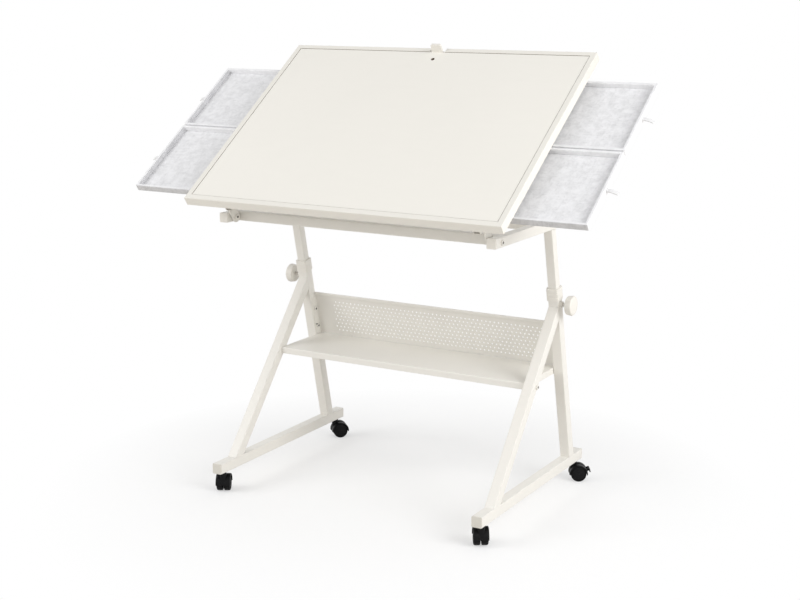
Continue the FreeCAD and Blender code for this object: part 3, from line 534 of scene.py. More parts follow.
def lathe(profile: Profile, steps: int) -> bmesh.types.BMesh:
    """Turn a profile round the X axis.

    Args:
        profile: Points as distance along the axis and radius, from one end of the axis to the other.
        steps: Faces round the axis.

    Returns:
        The turned shape.
    """
    shape = bmesh.new()
    points = [shape.verts.new((along, radius, 0.0)) for along, radius in profile]
    lines = [shape.edges.new(pair) for pair in zip(points, points[1:])]
    bmesh.ops.spin(shape, geom=points + lines, axis=(1, 0, 0), cent=(0, 0, 0), angle=2 * math.pi, steps=steps,
                   use_merge=True)
    bmesh.ops.remove_doubles(shape, verts=shape.verts, dist=MERGE_DISTANCE)
    bmesh.ops.recalc_face_normals(shape, faces=shape.faces)
    return shape


def joined(shapes: list[bmesh.types.BMesh]) -> bmesh.types.BMesh:
    """Put several shapes in one.

    Args:
        shapes: The separate shapes; they are freed.

    Returns:
        The whole.
    """
    whole = bmesh.new()
    for shape in shapes:
        mesh = bpy.data.meshes.new("shape_to_join")
        shape.to_mesh(mesh)
        shape.free()
        whole.from_mesh(mesh)
        bpy.data.meshes.remove(mesh)
    return whole


@dataclass
class EasedNodes:
    """CAD nodes that are shown as copies with rounded edges.

    Attributes:
        body: The body that they are on.
        finish: Their finish.
        edge: Width of the rounding.
        nodes: The nodes' names.
    """

    body: str
    finish: Finish
    edge: float
    nodes: list[str]

    def build(self) -> None:
        """Make every copy."""
        for node in self.nodes:
            add_piece(node + "_eased", eased(node, self.edge), self.body, [self.finish], [node])


@dataclass
class Fasteners(EasedNodes):
    """Bolts and screws along X, whose heads get a hexagon socket painted near black: dark steel and painted
    shade in the recess.

    Attributes:
        rim: Width of the head's face round the socket.
        depth: Depth of the socket.
        corners: Corners of a head's face.
        facing: How squarely a head's face looks along X.
    """

    rim: float = 2.8 * MILLIMETRE
    depth: float = 1.8 * MILLIMETRE
    corners: int = 6
    facing: float = 0.99

    def is_head(self, face: bmesh.types.BMFace) -> bool:
        """Whether a face is the outer face of a head."""
        return abs(face.normal.x) > self.facing and len(face.verts) == self.corners

    def build(self) -> None:
        """Make every copy and sink its sockets, painted near black as dark steel and painted shade."""
        for node in self.nodes:
            shape = eased(node, self.edge)
            heads = [face for face in shape.faces if self.is_head(face)]
            bmesh.ops.inset_individual(shape, faces=heads, thickness=self.rim, use_even_offset=True)
            sunk = bmesh.ops.extrude_discrete_faces(shape, faces=heads)["faces"]
            # The socket's floor and walls are painted near black: dark steel and painted shade in the recess.
            for face in sunk:
                for neighbour in [face] + [line.link_loops[0].face for line in face.edges]:
                    neighbour.material_index = SECOND_FINISH
                bmesh.ops.translate(shape, vec=-self.depth * face.normal, verts=face.verts)
            add_piece(node + "_eased", shape, self.body, [self.finish, SOCKET_STEEL_AND_SHADE], [node])


@dataclass
class Steelwork:
    """Steel of one body that keeps its CAD form, with what is pushed in or screwed on.

    Attributes:
        tube_edge: Rounding of tubes and bars.
        fine_edge: Rounding of sheet, plastics and fasteners.
    """

    tube_edge: float = 0.6 * MILLIMETRE
    fine_edge: float = 0.35 * MILLIMETRE


@dataclass
class BaseFrame(Steelwork):
    """The base: foot bars, legs and posts, with the shelf and what holds it."""

    def build(self) -> None:
        """Make the tubes, then the sheet, the plastics and the fasteners."""
        tubes = both("foot_bar") + both("front_leg") + both("rear_post")
        EasedNodes("base", FRAME_PAINT, self.tube_edge, tubes).build()
        EasedNodes("base", FRAME_PAINT, self.fine_edge, ["shelf_plate", "panel_ears"]).build()
        EasedNodes("base", CAP_PLASTIC, self.fine_edge, ["foot_bar_caps"]).build()
        EasedNodes("base", WHITE_PLASTIC, self.fine_edge, ["post_collars"]).build()
        EasedNodes("base", FRAME_PAINT, self.fine_edge, ["clamp_bosses"]).build()
        Fasteners("base", FRAME_PAINT, self.fine_edge, ["shelf_bolts"]).build()


@dataclass
class UpperFrame(Steelwork):
    """The frame that slides in the posts and carries the board."""

    def build(self) -> None:
        """Make the tubes, then the caps and the pivot bolts."""
        tubes = both("inner_tube") + both("side_rail") + ["front_rail", "rear_rail"]
        EasedNodes("lift", FRAME_PAINT, self.tube_edge, tubes).build()
        EasedNodes("lift", WHITE_PLASTIC, self.fine_edge, ["rail_caps"]).build()
        Fasteners("lift", FRAME_PAINT, self.fine_edge, ["pivot_bolts"]).build()


@dataclass
class BoardUnderside(Steelwork):
    """What is fastened under the board: bearers, tray runners, hinges, stops and prop pins.

    Attributes:
        stop_edge: Rounding of the tray stops.
    """

    stop_edge: float = 0.9 * MILLIMETRE

    def build(self) -> None:
        """Make the steel, then the stops and the pins."""
        steel = ["front_bearer", "rear_bearer", "middle_runner", "hinge_plates"] + both("side_bearer")
        EasedNodes("board", FRAME_PAINT, self.tube_edge, steel).build()
        EasedNodes("board", TRAY_COVERING, self.stop_edge, ["tray_stops"]).build()
        Fasteners("board", BRIGHT_STEEL, self.fine_edge, ["prop_pins"]).build()


@dataclass
class WorkBoard:
    """The tilting board: a rimmed bed with the loose cover that lies in it.

    Attributes:
        edge: Rounding of its edges.
        gap: Reach of the bed beyond the cover.
        level: How far a normal may leave the upright or level for its face to count as such.
    """

    edge: float = 0.9 * MILLIMETRE
    gap: float = 1.5 * MILLIMETRE
    level: float = 0.1

    def build(self) -> None:
        """Round the edges, and leave the board's bed and the cover's cut edges bare, in a dark brown that
        also paints the shade in the gap round the cover.
        """
        place = board_place()
        self.build_board(place)
        self.build_cover(place)
        EasedNodes("cover", WHITE_PLASTIC, self.edge, ["cover_tab"]).build()

    def build_board(self, place: Matrix) -> None:
        """Make the board, bare where the cover hides it; the dark bare bed also paints the shade in the gap
        round the cover.

        Args:
            place: The board's frame.
        """
        inverse = place.inverted()
        turned = inverse.to_3x3()
        low, high = local_box("cover_panel", place)
        shape = eased("board_frame", self.edge)
        for face in shape.faces:
            centre = inverse @ face.calc_center_median()
            beside = (max(low.x - centre.x, centre.x - high.x), max(low.y - centre.y, centre.y - high.y))
            upward = (turned @ face.normal).z > -self.level
            # The bed round and under the cover takes the dark bare core, which paints the shade in the gap.
            if max(beside) < self.gap and centre.z < high.z and upward:
                face.material_index = SECOND_FINISH
        add_piece("board_frame_eased", shape, "board", [BOARD_LAMINATE, RAW_BOARD_AND_GAP_SHADE], ["board_frame"])

    def build_cover(self, place: Matrix) -> None:
        """Make the cover, bare at its cut edges, whose dark brown also paints the shade in the gap round it.

        Args:
            place: The board's frame.
        """
        turned = place.inverted().to_3x3()
        shape = eased("cover_panel", self.edge)
        for face in shape.faces:
            # The cut edges take the dark bare core, which also paints the shade in the gap and the lift hole.
            if abs((turned @ face.normal).z) < self.level:
                face.material_index = SECOND_FINISH
        add_piece("cover_panel_eased", shape, "cover", [COVER_LAMINATE, RAW_BOARD_AND_GAP_SHADE], ["cover_panel"])


@dataclass
class PerforatedPanel:
    """The shelf's back: a sheet with staggered round holes and a folded top edge.

    Attributes:
        pitch: Distance between the holes of a row.
        hole: Diameter of a hole.
        rows: Rows of holes.
        hem_height: Height of the folded top edge.
        hem_thick: Thickness of the folded top edge.
        hem_rounding: Rounding of the folded edge, as a share of its thickness.
        hem_steps: Faces across that rounding.
        sheet: Thickness of the sheet.
        left_margin: Sheet without holes at the left-hand end.
        right_margin: Sheet without holes at the right-hand end.
        hole_edges: Edges round a hole.
        tolerance: How close points are that count as one.
    """

    pitch: float = 12.4 * MILLIMETRE
    hole: float = 4.2 * MILLIMETRE
    rows: int = 9
    hem_height: float = 9.0 * MILLIMETRE
    hem_thick: float = 5.0 * MILLIMETRE
    hem_rounding: float = 0.4
    hem_steps: int = 3
    sheet: float = 1.2 * MILLIMETRE
    left_margin: float = 54.0 * MILLIMETRE
    right_margin: float = 24.0 * MILLIMETRE
    hole_edges: int = 12
    tolerance: float = 10 * MERGE_DISTANCE

    def build(self) -> None:
        """Make the perforated sheet and the folded edge along its top."""
        low_corner, high_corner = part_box("back_panel")
        place = post_place(Vector(((low_corner.x + high_corner.x) / 2, low_corner.y, low_corner.z)))
        low, high = local_box("back_panel", place)
        self.build_sheet(place, low, high)
        self.build_hem(place, low, high)

    def cell(self, step: float) -> bmesh.types.BMesh:
        """Make one hole in its rectangle of sheet, whose edge points meet those of the next rows.

        Args:
            step: Distance between the rows.

        Returns:
            The flat rectangle round the hole.
        """
        shape = bmesh.new()
        bmesh.ops.create_grid(shape, x_segments=1, y_segments=1, size=0.5)
        bmesh.ops.scale(shape, vec=(self.pitch, step, 1.0), verts=shape.verts)
        bmesh.ops.delete(shape, geom=shape.faces[:], context="FACES_ONLY")
        level = [line for line in shape.edges if abs(line.verts[0].co.y - line.verts[1].co.y) < step / 2]
        upright = [line for line in shape.edges if line not in level]
        bmesh.ops.bisect_edges(shape, edges=level, cuts=1)
        bmesh.ops.bisect_edges(shape, edges=upright, cuts=self.hole_edges // 4)
        bmesh.ops.create_circle(shape, segments=self.hole_edges, radius=self.hole / 2)
        bmesh.ops.bridge_loops(shape, edges=shape.edges[:])
        return shape

    def perforated(self, columns: int, step: float) -> bmesh.types.BMesh:
        """Repeat the hole, with one more in every other row.

        Args:
            columns: Holes in a short row.
            step: Distance between the rows.

        Returns:
            The flat perforated field.
        """
        shape = self.cell(step)
        first = shape.verts[:] + shape.edges[:] + shape.faces[:]
        pattern = shape.verts[:]
        for row in range(self.rows):
            count = columns + row % 2
            for column in range(count):
                made = bmesh.ops.duplicate(shape, geom=first)["geom"]
                corners = [item for item in made if isinstance(item, bmesh.types.BMVert)]
                across = (column - (count - 1) / 2) * self.pitch
                bmesh.ops.translate(shape, verts=corners, vec=(across, (row + 0.5) * step, 0.0))
        bmesh.ops.delete(shape, geom=pattern, context="VERTS")
        bmesh.ops.remove_doubles(shape, verts=shape.verts, dist=self.tolerance)
        return shape

    def draw_out(self, shape: bmesh.types.BMesh, axis: int, start: float, limit: float) -> None:
        """Extend the border edges that lie at a place along an axis.

        Args:
            shape: The flat sheet.
            axis: 0 for along the sheet, 1 for up it.
            start: Where the edges lie.
            limit: Where the sheet then ends.
        """
        border = [line for line in shape.edges if line.is_boundary
                  and all(abs(vertex.co[axis] - start) < self.tolerance for vertex in line.verts)]
        made = bmesh.ops.extrude_edge_only(shape, edges=border)["geom"]
        for item in made:
            if isinstance(item, bmesh.types.BMVert):
                item.co[axis] = limit
        bmesh.ops.remove_doubles(shape, verts=shape.verts, dist=self.tolerance)

    def build_sheet(self, place: Matrix, low: Vector, high: Vector) -> None:
        """Draw the perforated field out to the sheet's edges, thicken it and lean it.

        Args:
            place: The panel's leaning frame.
            low: The panel's lowest corner in that frame.
            high: Its highest corner.
        """
        step = self.pitch * math.sqrt(3) / 2
        columns = int((high.x - low.x - self.left_margin - self.right_margin) / self.pitch)
        middle = (low.x + self.left_margin + high.x - self.right_margin) / 2
        shape = self.perforated(columns, step)
        for end, limit in ((-1, low.x - middle), (1, high.x - middle)):
            short_row = end * columns * self.pitch / 2
            long_row = end * (columns + 1) * self.pitch / 2
            self.draw_out(shape, 0, short_row, long_row)
            self.draw_out(shape, 0, long_row, limit)
        above = (high.z - low.z - self.hem_height - self.rows * step) / 2
        self.draw_out(shape, 1, 0.0, -above)
        self.draw_out(shape, 1, self.rows * step, self.rows * step + above + self.hem_height / 2)
        bmesh.ops.recalc_face_normals(shape, faces=shape.faces)
        bmesh.ops.solidify(shape, geom=shape.faces[:], thickness=self.sheet)
        bmesh.ops.recalc_face_normals(shape, faces=shape.faces)
        stand = Matrix.Rotation(math.pi / 2, 4, "X")
        settled = Matrix.Translation((middle, high.y, low.z + above))
        bmesh.ops.transform(shape, matrix=settled @ stand, verts=shape.verts)
        spare = max(vertex.co.y for vertex in shape.verts) - high.y
        bmesh.ops.translate(shape, vec=(0.0, -spare, 0.0), verts=shape.verts)
        bmesh.ops.transform(shape, matrix=place, verts=shape.verts)
        add_piece("perforated_sheet", shape, "base", [FRAME_PAINT], ["back_panel"])

    def build_hem(self, place: Matrix, low: Vector, high: Vector) -> None:
        """Lay the rounded fold along the sheet's top.

        Args:
            place: The panel's leaning frame.
            low: The panel's lowest corner in that frame.
            high: Its highest corner.
        """
        shape = bmesh.new()
        bmesh.ops.create_cube(shape, size=1.0)
        bmesh.ops.scale(shape, vec=(high.x - low.x, self.hem_thick, self.hem_height), verts=shape.verts)
        bmesh.ops.bevel(shape, geom=shape.edges[:], offset=self.hem_thick * self.hem_rounding, affect="EDGES",
                        segments=self.hem_steps, profile=0.5, material=-1)
        centre = Vector(((low.x + high.x) / 2, high.y - self.hem_thick / 2, high.z - self.hem_height / 2))
        bmesh.ops.transform(shape, matrix=place @ Matrix.Translation(centre), verts=shape.verts)
        add_piece("panel_hem", shape, "base", [FRAME_PAINT])


@dataclass
class ClampKnob:
    """A domed hand knob with a knurled skirt.

    Attributes:
        side: The side of the table that it is on.
        flutes: Flutes round the skirt.
        flute_depth: Depth of a flute, as a share of the radius.
        rim: Rounding of the skirt's two rims.
        skirt: Length of the skirt.
        taper: The skirt's radius at its foot, as a share of the radius at its top.
        dome_steps: Faces from the skirt to the middle of the dome.
    """

    side: Side
    flutes: int = 40
    flute_depth: float = 0.03
    rim: float = 1.2 * MILLIMETRE
    skirt: float = 15.0 * MILLIMETRE
    taper: float = 0.93
    dome_steps: int = 8

    def build(self) -> None:
        """Turn the knob, cut its flutes and set it on its stud."""
        node = f"clamp_knob_{self.side.value}"
        low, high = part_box(node)
        radius = (high.z - low.z) / 2
        shape = lathe(self.outline(radius, high.x - low.x), 2 * self.flutes)
        for vertex in shape.verts:
            turn = round(math.atan2(vertex.co.z, vertex.co.y) / math.pi * self.flutes)
            if turn % 2 and 0.0 < vertex.co.x < self.skirt:
                vertex.co.yz *= 1 - self.flute_depth
        right = self.side is Side.RIGHT
        middle = Vector((low.x if right else high.x, (low.y + high.y) / 2, (low.z + high.z) / 2))
        turned = Matrix.Identity(4) if right else Matrix.Rotation(math.pi, 4, "Z")
        bmesh.ops.transform(shape, matrix=Matrix.Translation(middle) @ turned, verts=shape.verts)
        add_piece(node + "_turned", shape, f"knob_{self.side.value}", [WHITE_PLASTIC], [node])

    def outline(self, radius: float, length: float) -> Profile:
        """Draw the knob's profile, from the foot of its skirt to the middle of its dome.

        Args:
            radius: The skirt's radius at its top.
            length: The knob's length along its axis.

        Returns:
            Points as distance along the axis and radius.
        """
        foot = radius * self.taper
        dome = length - self.skirt
        profile = [(0.0, 0.0), (0.0, foot - self.rim), (self.rim, foot), (self.skirt - self.rim, radius)]
        for index in range(self.dome_steps):
            angle = math.pi / 2 * index / self.dome_steps
            profile.append((self.skirt + dome * math.sin(angle),
                            (radius - self.rim / 2) * math.sqrt(math.cos(angle))))
        return profile + [(length, 0.0)]


# A caster wheel from its inner face over the tread to the middle of its cap, as shares of width and radius
WHEEL_OUTLINE = [
    (0.0, 0.0), (0.0, 0.90), (0.05, 0.97), (0.15, 1.0), (0.70, 1.0), (0.83, 0.985), (0.91, 0.94),
    (0.955, 0.86), (0.96, 0.80), (0.91, 0.78), (0.92, 0.74), (0.955, 0.60), (0.98, 0.42), (0.99, 0.28),
    (0.965, 0.25), (0.97, 0.20), (1.0, 0.17), (1.0, 0.0),
]
# Half a hood's outer face from its edge to its middle, as shares of half its width and of its wall
HOOD_FLANK = [(1.0, 0.15), (0.985, 0.55), (0.94, 0.85), (0.85, 1.0), (0.24, 1.0), (0.17, 0.75), (0.13, 0.45)]


@dataclass
class Caster:
    """A twin-wheel caster: two wheels with domed caps on one axle, under a moulded hood.

    Attributes:
        corner: Where it is under the base.
        web: Thickness of the hood's web between the wheels.
        web_gap: Distance between the wheels.
        clear: Gap between wheels and hood.
        wall: Thickness of the hood.
        drop: How far the hood reaches below the axle.
        hub: Radius of the web round the axle.
        boss: Radius of the swivel boss.
        boss_levels: Rings up the boss.
        swivel_gap: Gap between the boss and the foot bar.
        stem: Radius of the swivel stem.
        ear: Radius of the ears that hold a brake pedal.
        ear_inset: Distance of an ear's inner face from the middle.
        ear_thick: Thickness of an ear.
        pedal_edge: Rounding of a brake pedal.
        steps: Faces round a wheel.
        ribs: Raised ribs on a wheel's cap.
        rib_size: A rib's depth as a share of the width, its length and breadth as shares of the radius.
        rib_place: A rib's place along the axle as a share of the width, from it as a share of the radius.
    """

    corner: Corner
    web: float = 2.4 * MILLIMETRE
    web_gap: float = 3.4 * MILLIMETRE
    clear: float = 1.0 * MILLIMETRE
    wall: float = 2.8 * MILLIMETRE
    drop: float = 2.0 * MILLIMETRE
    hub: float = 6.0 * MILLIMETRE
    boss: float = 9.0 * MILLIMETRE
    boss_levels: int = 12
    swivel_gap: float = 0.3 * MILLIMETRE
    stem: float = 4.0 * MILLIMETRE
    ear: float = 3.0 * MILLIMETRE
    ear_inset: float = 7.8 * MILLIMETRE
    ear_thick: float = 2.4 * MILLIMETRE
    pedal_edge: float = 0.4 * MILLIMETRE
    steps: int = 44
    ribs: int = 6
    rib_size: Triple = (0.08, 0.42, 0.08)
    rib_place: tuple[float, float] = (0.93, 0.5)

    def build(self) -> None:
        """Set both wheels on the axle and cover them."""
        corner = self.corner.value
        roll = joint(f"wheels_{corner}_roll")
        axis = Vector(roll["axis"])
        radius = roll["pos_m"][2]
        place = Matrix.Translation(roll["pos_m"]) @ Matrix.Rotation(math.atan2(axis.y, axis.x), 4, "Z")
        pair = self.wheel_pair(place, radius)
        wheels = f"caster_wheels_{corner}"
        add_piece(wheels + "_turned", pair, f"wheels_{corner}", [BLACK_TREAD], [wheels])
        cover = self.hood(place, radius)
        hood = f"caster_hood_{corner}"
        add_piece(hood + "_moulded", cover, f"caster_{corner}", [BLACK_PLASTIC], [hood])
        pedal = f"brake_pedal_{corner}"
        if pedal in frame["nodes"]:
            EasedNodes(f"pedal_{corner}", BLACK_PLASTIC, self.pedal_edge, [pedal]).build()

    def wheel_pair(self, place: Matrix, radius: float) -> bmesh.types.BMesh:
        """Both wheels, either side of the web.

        Args:
            place: The axle's frame.
            radius: The wheels' radius.

        Returns:
            The wheels in the table's frame.
        """
        outer = local_box(f"caster_wheels_{self.corner.value}", place)[1].x
        halves = []
        for turn in (0.0, math.pi):
            half = self.wheel(radius, outer - self.web_gap / 2)
            bmesh.ops.translate(half, vec=(self.web_gap / 2, 0.0, 0.0), verts=half.verts)
            bmesh.ops.rotate(half, matrix=Matrix.Rotation(turn, 3, "Z"), verts=half.verts)
            halves.append(half)
        pair = joined(halves)
        bmesh.ops.transform(pair, matrix=place, verts=pair.verts)
        return pair

    def wheel(self, radius: float, width: float) -> bmesh.types.BMesh:
        """Turn one wheel and raise the ribs on its cap.

        Args:
            radius: The wheel's radius.
            width: Its width along the axle.

        Returns:
            The wheel on the X axis, its inner face at 0.
        """
        shape = lathe([(along * width, share * radius) for along, share in WHEEL_OUTLINE], self.steps)
        depth, length, breadth = self.rib_size
        along, out = self.rib_place
        for index in range(self.ribs):
            made = bmesh.ops.create_cube(shape, size=1.0)["verts"]
            bmesh.ops.scale(shape, vec=(width * depth, radius * length, radius * breadth), verts=made)
            bmesh.ops.translate(shape, vec=(width * along, radius * out, 0.0), verts=made)
            turn = Matrix.Rotation(2 * math.pi * index / self.ribs, 3, "X")
            bmesh.ops.rotate(shape, matrix=turn, verts=made)
        return shape

    def hood(self, place: Matrix, radius: float) -> bmesh.types.BMesh:
        """The whole hood.

        Args:
            place: The axle's frame.
            radius: The wheels' radius.

        Returns:
            The arch, web, boss, stem and, with a brake, the pedal's ears, in the table's frame.
        """
        corner = self.corner.value
        inverse = place.inverted()
        high = local_box(f"caster_hood_{corner}", place)[1]
        inside = radius + self.clear
        outer = [(along * high.x, inside + rise * self.wall) for along, rise in HOOD_FLANK]
        mirrored = [(-along, reach) for along, reach in reversed(outer)]
        section = outer + mirrored + [(-high.x, inside), (high.x, inside)]
        half = self.web / 2
        rooted = inside + self.wall / 3
        web = [(half, self.hub), (half, rooted), (-half, rooted), (-half, self.hub)]
        middle = [(-half, 0.0), (-half, self.hub), (half, self.hub), (half, 0.0)]
        swivel = inverse @ Vector(joint(f"caster_{corner}_swivel")["pos_m"])
        shapes = [self.arch(section), self.arch(web), lathe(middle, self.steps // 2),
                  self.swivel_boss(swivel, inside, high.z)]
        if f"brake_pedal_{corner}" in frame["nodes"]:
            pin = inverse @ Vector(joint(f"pedal_{corner}_lift")["pos_m"])
            shapes += [self.pedal_ear(side, pin, inside) for side in Side]
        shape = joined(shapes)
        bmesh.ops.transform(shape, matrix=place, verts=shape.verts)
        return shape

    def arch(self, section: Profile) -> bmesh.types.BMesh:
        """Sweep a section over the wheels, from below the axle on one side to below it on the other.

        Args:
            section: Corners as distance along the axle and distance from it, in order.

        Returns:
            The closed arch.
        """
        shape = bmesh.new()
        below = math.asin(self.drop / max(reach for _, reach in section))
        points = [shape.verts.new((along, reach, 0.0)) for along, reach in section]
        lines = [shape.edges.new(pair) for pair in zip(points, points[1:] + points[:1])]
        bmesh.ops.rotate(shape, matrix=Matrix.Rotation(-below, 3, "X"), verts=points)
        bmesh.ops.spin(shape, geom=points + lines, axis=(1, 0, 0), cent=(0, 0, 0), angle=math.pi + 2 * below,
                       steps=self.steps // 2)
        bmesh.ops.holes_fill(shape, edges=[line for line in shape.edges if line.is_boundary])
        bmesh.ops.recalc_face_normals(shape, faces=shape.faces)
        return shape

    def swivel_boss(self, place: Vector, inside: float, stem_top: float) -> bmesh.types.BMesh:
        """The boss that carries the stem, its foot spread over the arch.

        Args:
            place: The swivel's place from the axle.
            inside: Distance from the axle at which the arch starts.
            stem_top: Height of the stem's end.

        Returns:
            The boss with its stem.
        """
        top = place.z - self.swivel_gap
        ease = self.wall / 3
        rise = (top - ease - self.wall) / self.boss_levels
        profile = [(self.wall, 0.0)]
        profile += [(self.wall + index * rise, self.boss) for index in range(self.boss_levels + 1)]
        profile += [(top, self.boss - ease), (top, self.stem), (stem_top - ease, self.stem),
                    (stem_top, self.stem - ease), (stem_top, 0.0)]
        shape = lathe(profile, self.steps)
        bmesh.ops.rotate(shape, matrix=Matrix.Rotation(-math.pi / 2, 3, "Y"), verts=shape.verts)
        bmesh.ops.translate(shape, vec=(0.0, place.y, 0.0), verts=shape.verts)
        for vertex in shape.verts:
            shortfall = (inside + self.wall / 2) / max(vertex.co.yz.length, MERGE_DISTANCE)
            if shortfall > 1.0:
                vertex.co.yz *= shortfall
        return shape

    def pedal_ear(self, side: Side, pin: Vector, inside: float) -> bmesh.types.BMesh:
        """An ear with its neck, on one side of a brake pedal.

        Args:
            side: The side of the pedal.
            pin: The pedal's pin from the axle.
            inside: Distance from the axle at which the arch starts.

        Returns:
            The ear in the axle's frame.
        """
        near, far = self.ear_inset, self.ear_inset + self.ear_thick
        shape = lathe([(near, 0.0), (near, self.ear), (far, self.ear), (far, 0.0)], self.steps // 2)
        bmesh.ops.translate(shape, vec=(0.0, pin.y, pin.z), verts=shape.verts)
        neck = pin.yz.length - inside - self.wall / 3
        made = bmesh.ops.create_cube(shape, size=1.0)["verts"]
        bmesh.ops.scale(shape, vec=(self.ear_thick, neck, 2 * self.ear), verts=made)
        bmesh.ops.translate(shape, vec=((near + far) / 2, pin.yz.length - neck / 2, 0.0), verts=made)
        bmesh.ops.rotate(shape, matrix=Matrix.Rotation(math.atan2(pin.z, pin.y), 3, "X"), verts=made)
        if side is Side.LEFT:
            bmesh.ops.scale(shape, vec=(-1.0, 1.0, 1.0), verts=shape.verts)
            bmesh.ops.reverse_faces(shape, faces=shape.faces)
        return shape


@dataclass
class SortingTray:
    """A felt-covered sorting tray with its finger pull and its loose felt lining.

    Attributes:
        row: The row that it is in.
        side: The side of the table that it pulls out of.
        edge: Rounding of its edges.
        edge_steps: Faces across that rounding.
        pull_edge: Rounding of the finger pull.
        wall_limit: How far a wall's normal may turn up or down.
        ripple: Height of the lining's ripple.
        ripple_scale: Ripples in a metre.
        divisions: Faces along the lining.
    """

    row: Row
    side: Side
    edge: float = 2.0 * MILLIMETRE
    edge_steps: int = 3
    pull_edge: float = 0.5 * MILLIMETRE
    wall_limit: float = 0.8
    ripple: float = 0.25 * MILLIMETRE
    ripple_scale: float = 26.0
    divisions: int = 24

    def build(self) -> None:
        """Make the tray and its pull, and lay the lining in it."""
        key = f"{self.row.value}_{self.side.value}"
        place = board_place()
        self.build_tray(key, place)
        EasedNodes(f"tray_{key}", PULL_PLASTIC, self.pull_edge, [f"tray_pull_{key}"]).build()
        self.lay_lining(key, place)

    def build_tray(self, key: str, place: Matrix) -> None:
        """Round the tray's edges, with painted shade, a darker felt colour, on its inner end walls and the
        outside of a front tray.

        Args:
            key: The tray's row and side, as names have them.
            place: The board's frame.
        """
        body = f"tray_{key}"
        inverse = place.inverted()
        turned = inverse.to_3x3()
        low, high = local_box(body, place)
        shape = eased(body, self.edge, self.edge_steps)
        for face in shape.faces:
            centre = inverse @ face.calc_center_median()
            normal = turned @ face.normal
            front = self.row is Row.FRONT and centre.y - low.y < self.edge
            inner = min(centre.x - low.x, high.x - centre.x) > self.edge
            # The front tray's outer front wall and the inner end walls take the darker felt colour: painted
            # shade.
            shaded = front if abs(normal.y) > abs(normal.x) else inner
            if shaded and abs(normal.z) < self.wall_limit:
                face.material_index = SECOND_FINISH
        add_piece(body + "_eased", shape, body, [TRAY_COVERING, TRAY_WALL_PAINTED_SHADE], [body])

    def lay_lining(self, key: str, place: Matrix) -> None:
        """Cut the felt, let it ripple a little and lay it on the tray's floor.

        Args:
            key: The tray's row and side, as names have them.
            place: The board's frame.
        """
        node = f"tray_lining_{key}"
        low, high = local_box(node, place)
        size = high - low
        shape = bmesh.new()
        bmesh.ops.create_grid(shape, x_segments=self.divisions, y_segments=self.divisions // 2, size=0.5)
        bmesh.ops.scale(shape, vec=(size.x, size.y, 1.0), verts=shape.verts)
        for vertex in shape.verts:
            spot = Vector((vertex.co.x * self.ripple_scale, vertex.co.y * self.ripple_scale, len(key)))
            vertex.co.z = -self.ripple * (0.5 + 0.5 * noise.noise(spot))
        bmesh.ops.solidify(shape, geom=shape.faces[:], thickness=size.z - self.ripple)
        bmesh.ops.recalc_face_normals(shape, faces=shape.faces)
        centre = Vector(((low.x + high.x) / 2, (low.y + high.y) / 2, high.z))
        bmesh.ops.transform(shape, matrix=place @ Matrix.Translation(centre), verts=shape.verts)
        lining = add_piece(node + "_felt", shape, f"tray_{key}", [TRAY_FELT], [node])


@dataclass
class TableSide:
    """What each side of the table has: a clamp knob, two trays and a tilt prop.

    Attributes:
        side: Which side it is.
        prop_edge: Rounding of the prop.
        stud_edge: Rounding of the knob's stud.
    """

    side: Side
    prop_edge: float = 0.5 * MILLIMETRE
    stud_edge: float = 0.3 * MILLIMETRE

    def build(self) -> None:
        """Make the side's own pieces."""
        side = self.side.value
        ClampKnob(self.side).build()
        for row in Row:
            SortingTray(row, self.side).build()
        EasedNodes(f"prop_{side}", FRAME_PAINT, self.prop_edge, [f"tilt_prop_{side}"]).build()
        EasedNodes(f"knob_{side}", BRIGHT_STEEL, self.stud_edge, [f"clamp_stud_{side}"]).build()


@dataclass
class PuzzleTable:
    """The whole table, sub-assembly by sub-assembly."""

    def build(self) -> None:
        """Build every piece in order."""
        for assembly in (BaseFrame(), UpperFrame(), BoardUnderside(), WorkBoard(), PerforatedPanel()):
            assembly.build()
        for side in Side:
            TableSide(side).build()
        for corner in Corner:
            Caster(corner).build()


@dataclass(frozen=True)
class Lamp:
    """A square soft box.

    Attributes:
        name: The lamp's name.
        place: Where it hangs.
        size: Length of its sides.
        power: Its power in watts.
    """

    name: str
    place: Triple
    size: float
    power: float

    def build(self, target: Triple) -> None:
        """Hang the lamp.

        Args:
            target: The point that it looks at.
        """
        light = bpy.data.lights.new(self.name, "AREA")
        light.size = self.size
        light.energy = self.power
        box = bpy.data.objects.new(self.name, light)
        box.location = self.place
        towards = Vector(target) - Vector(self.place)
        box.rotation_euler = towards.to_track_quat("-Z", "Y").to_euler()
        bpy.context.scene.collection.objects.link(box)


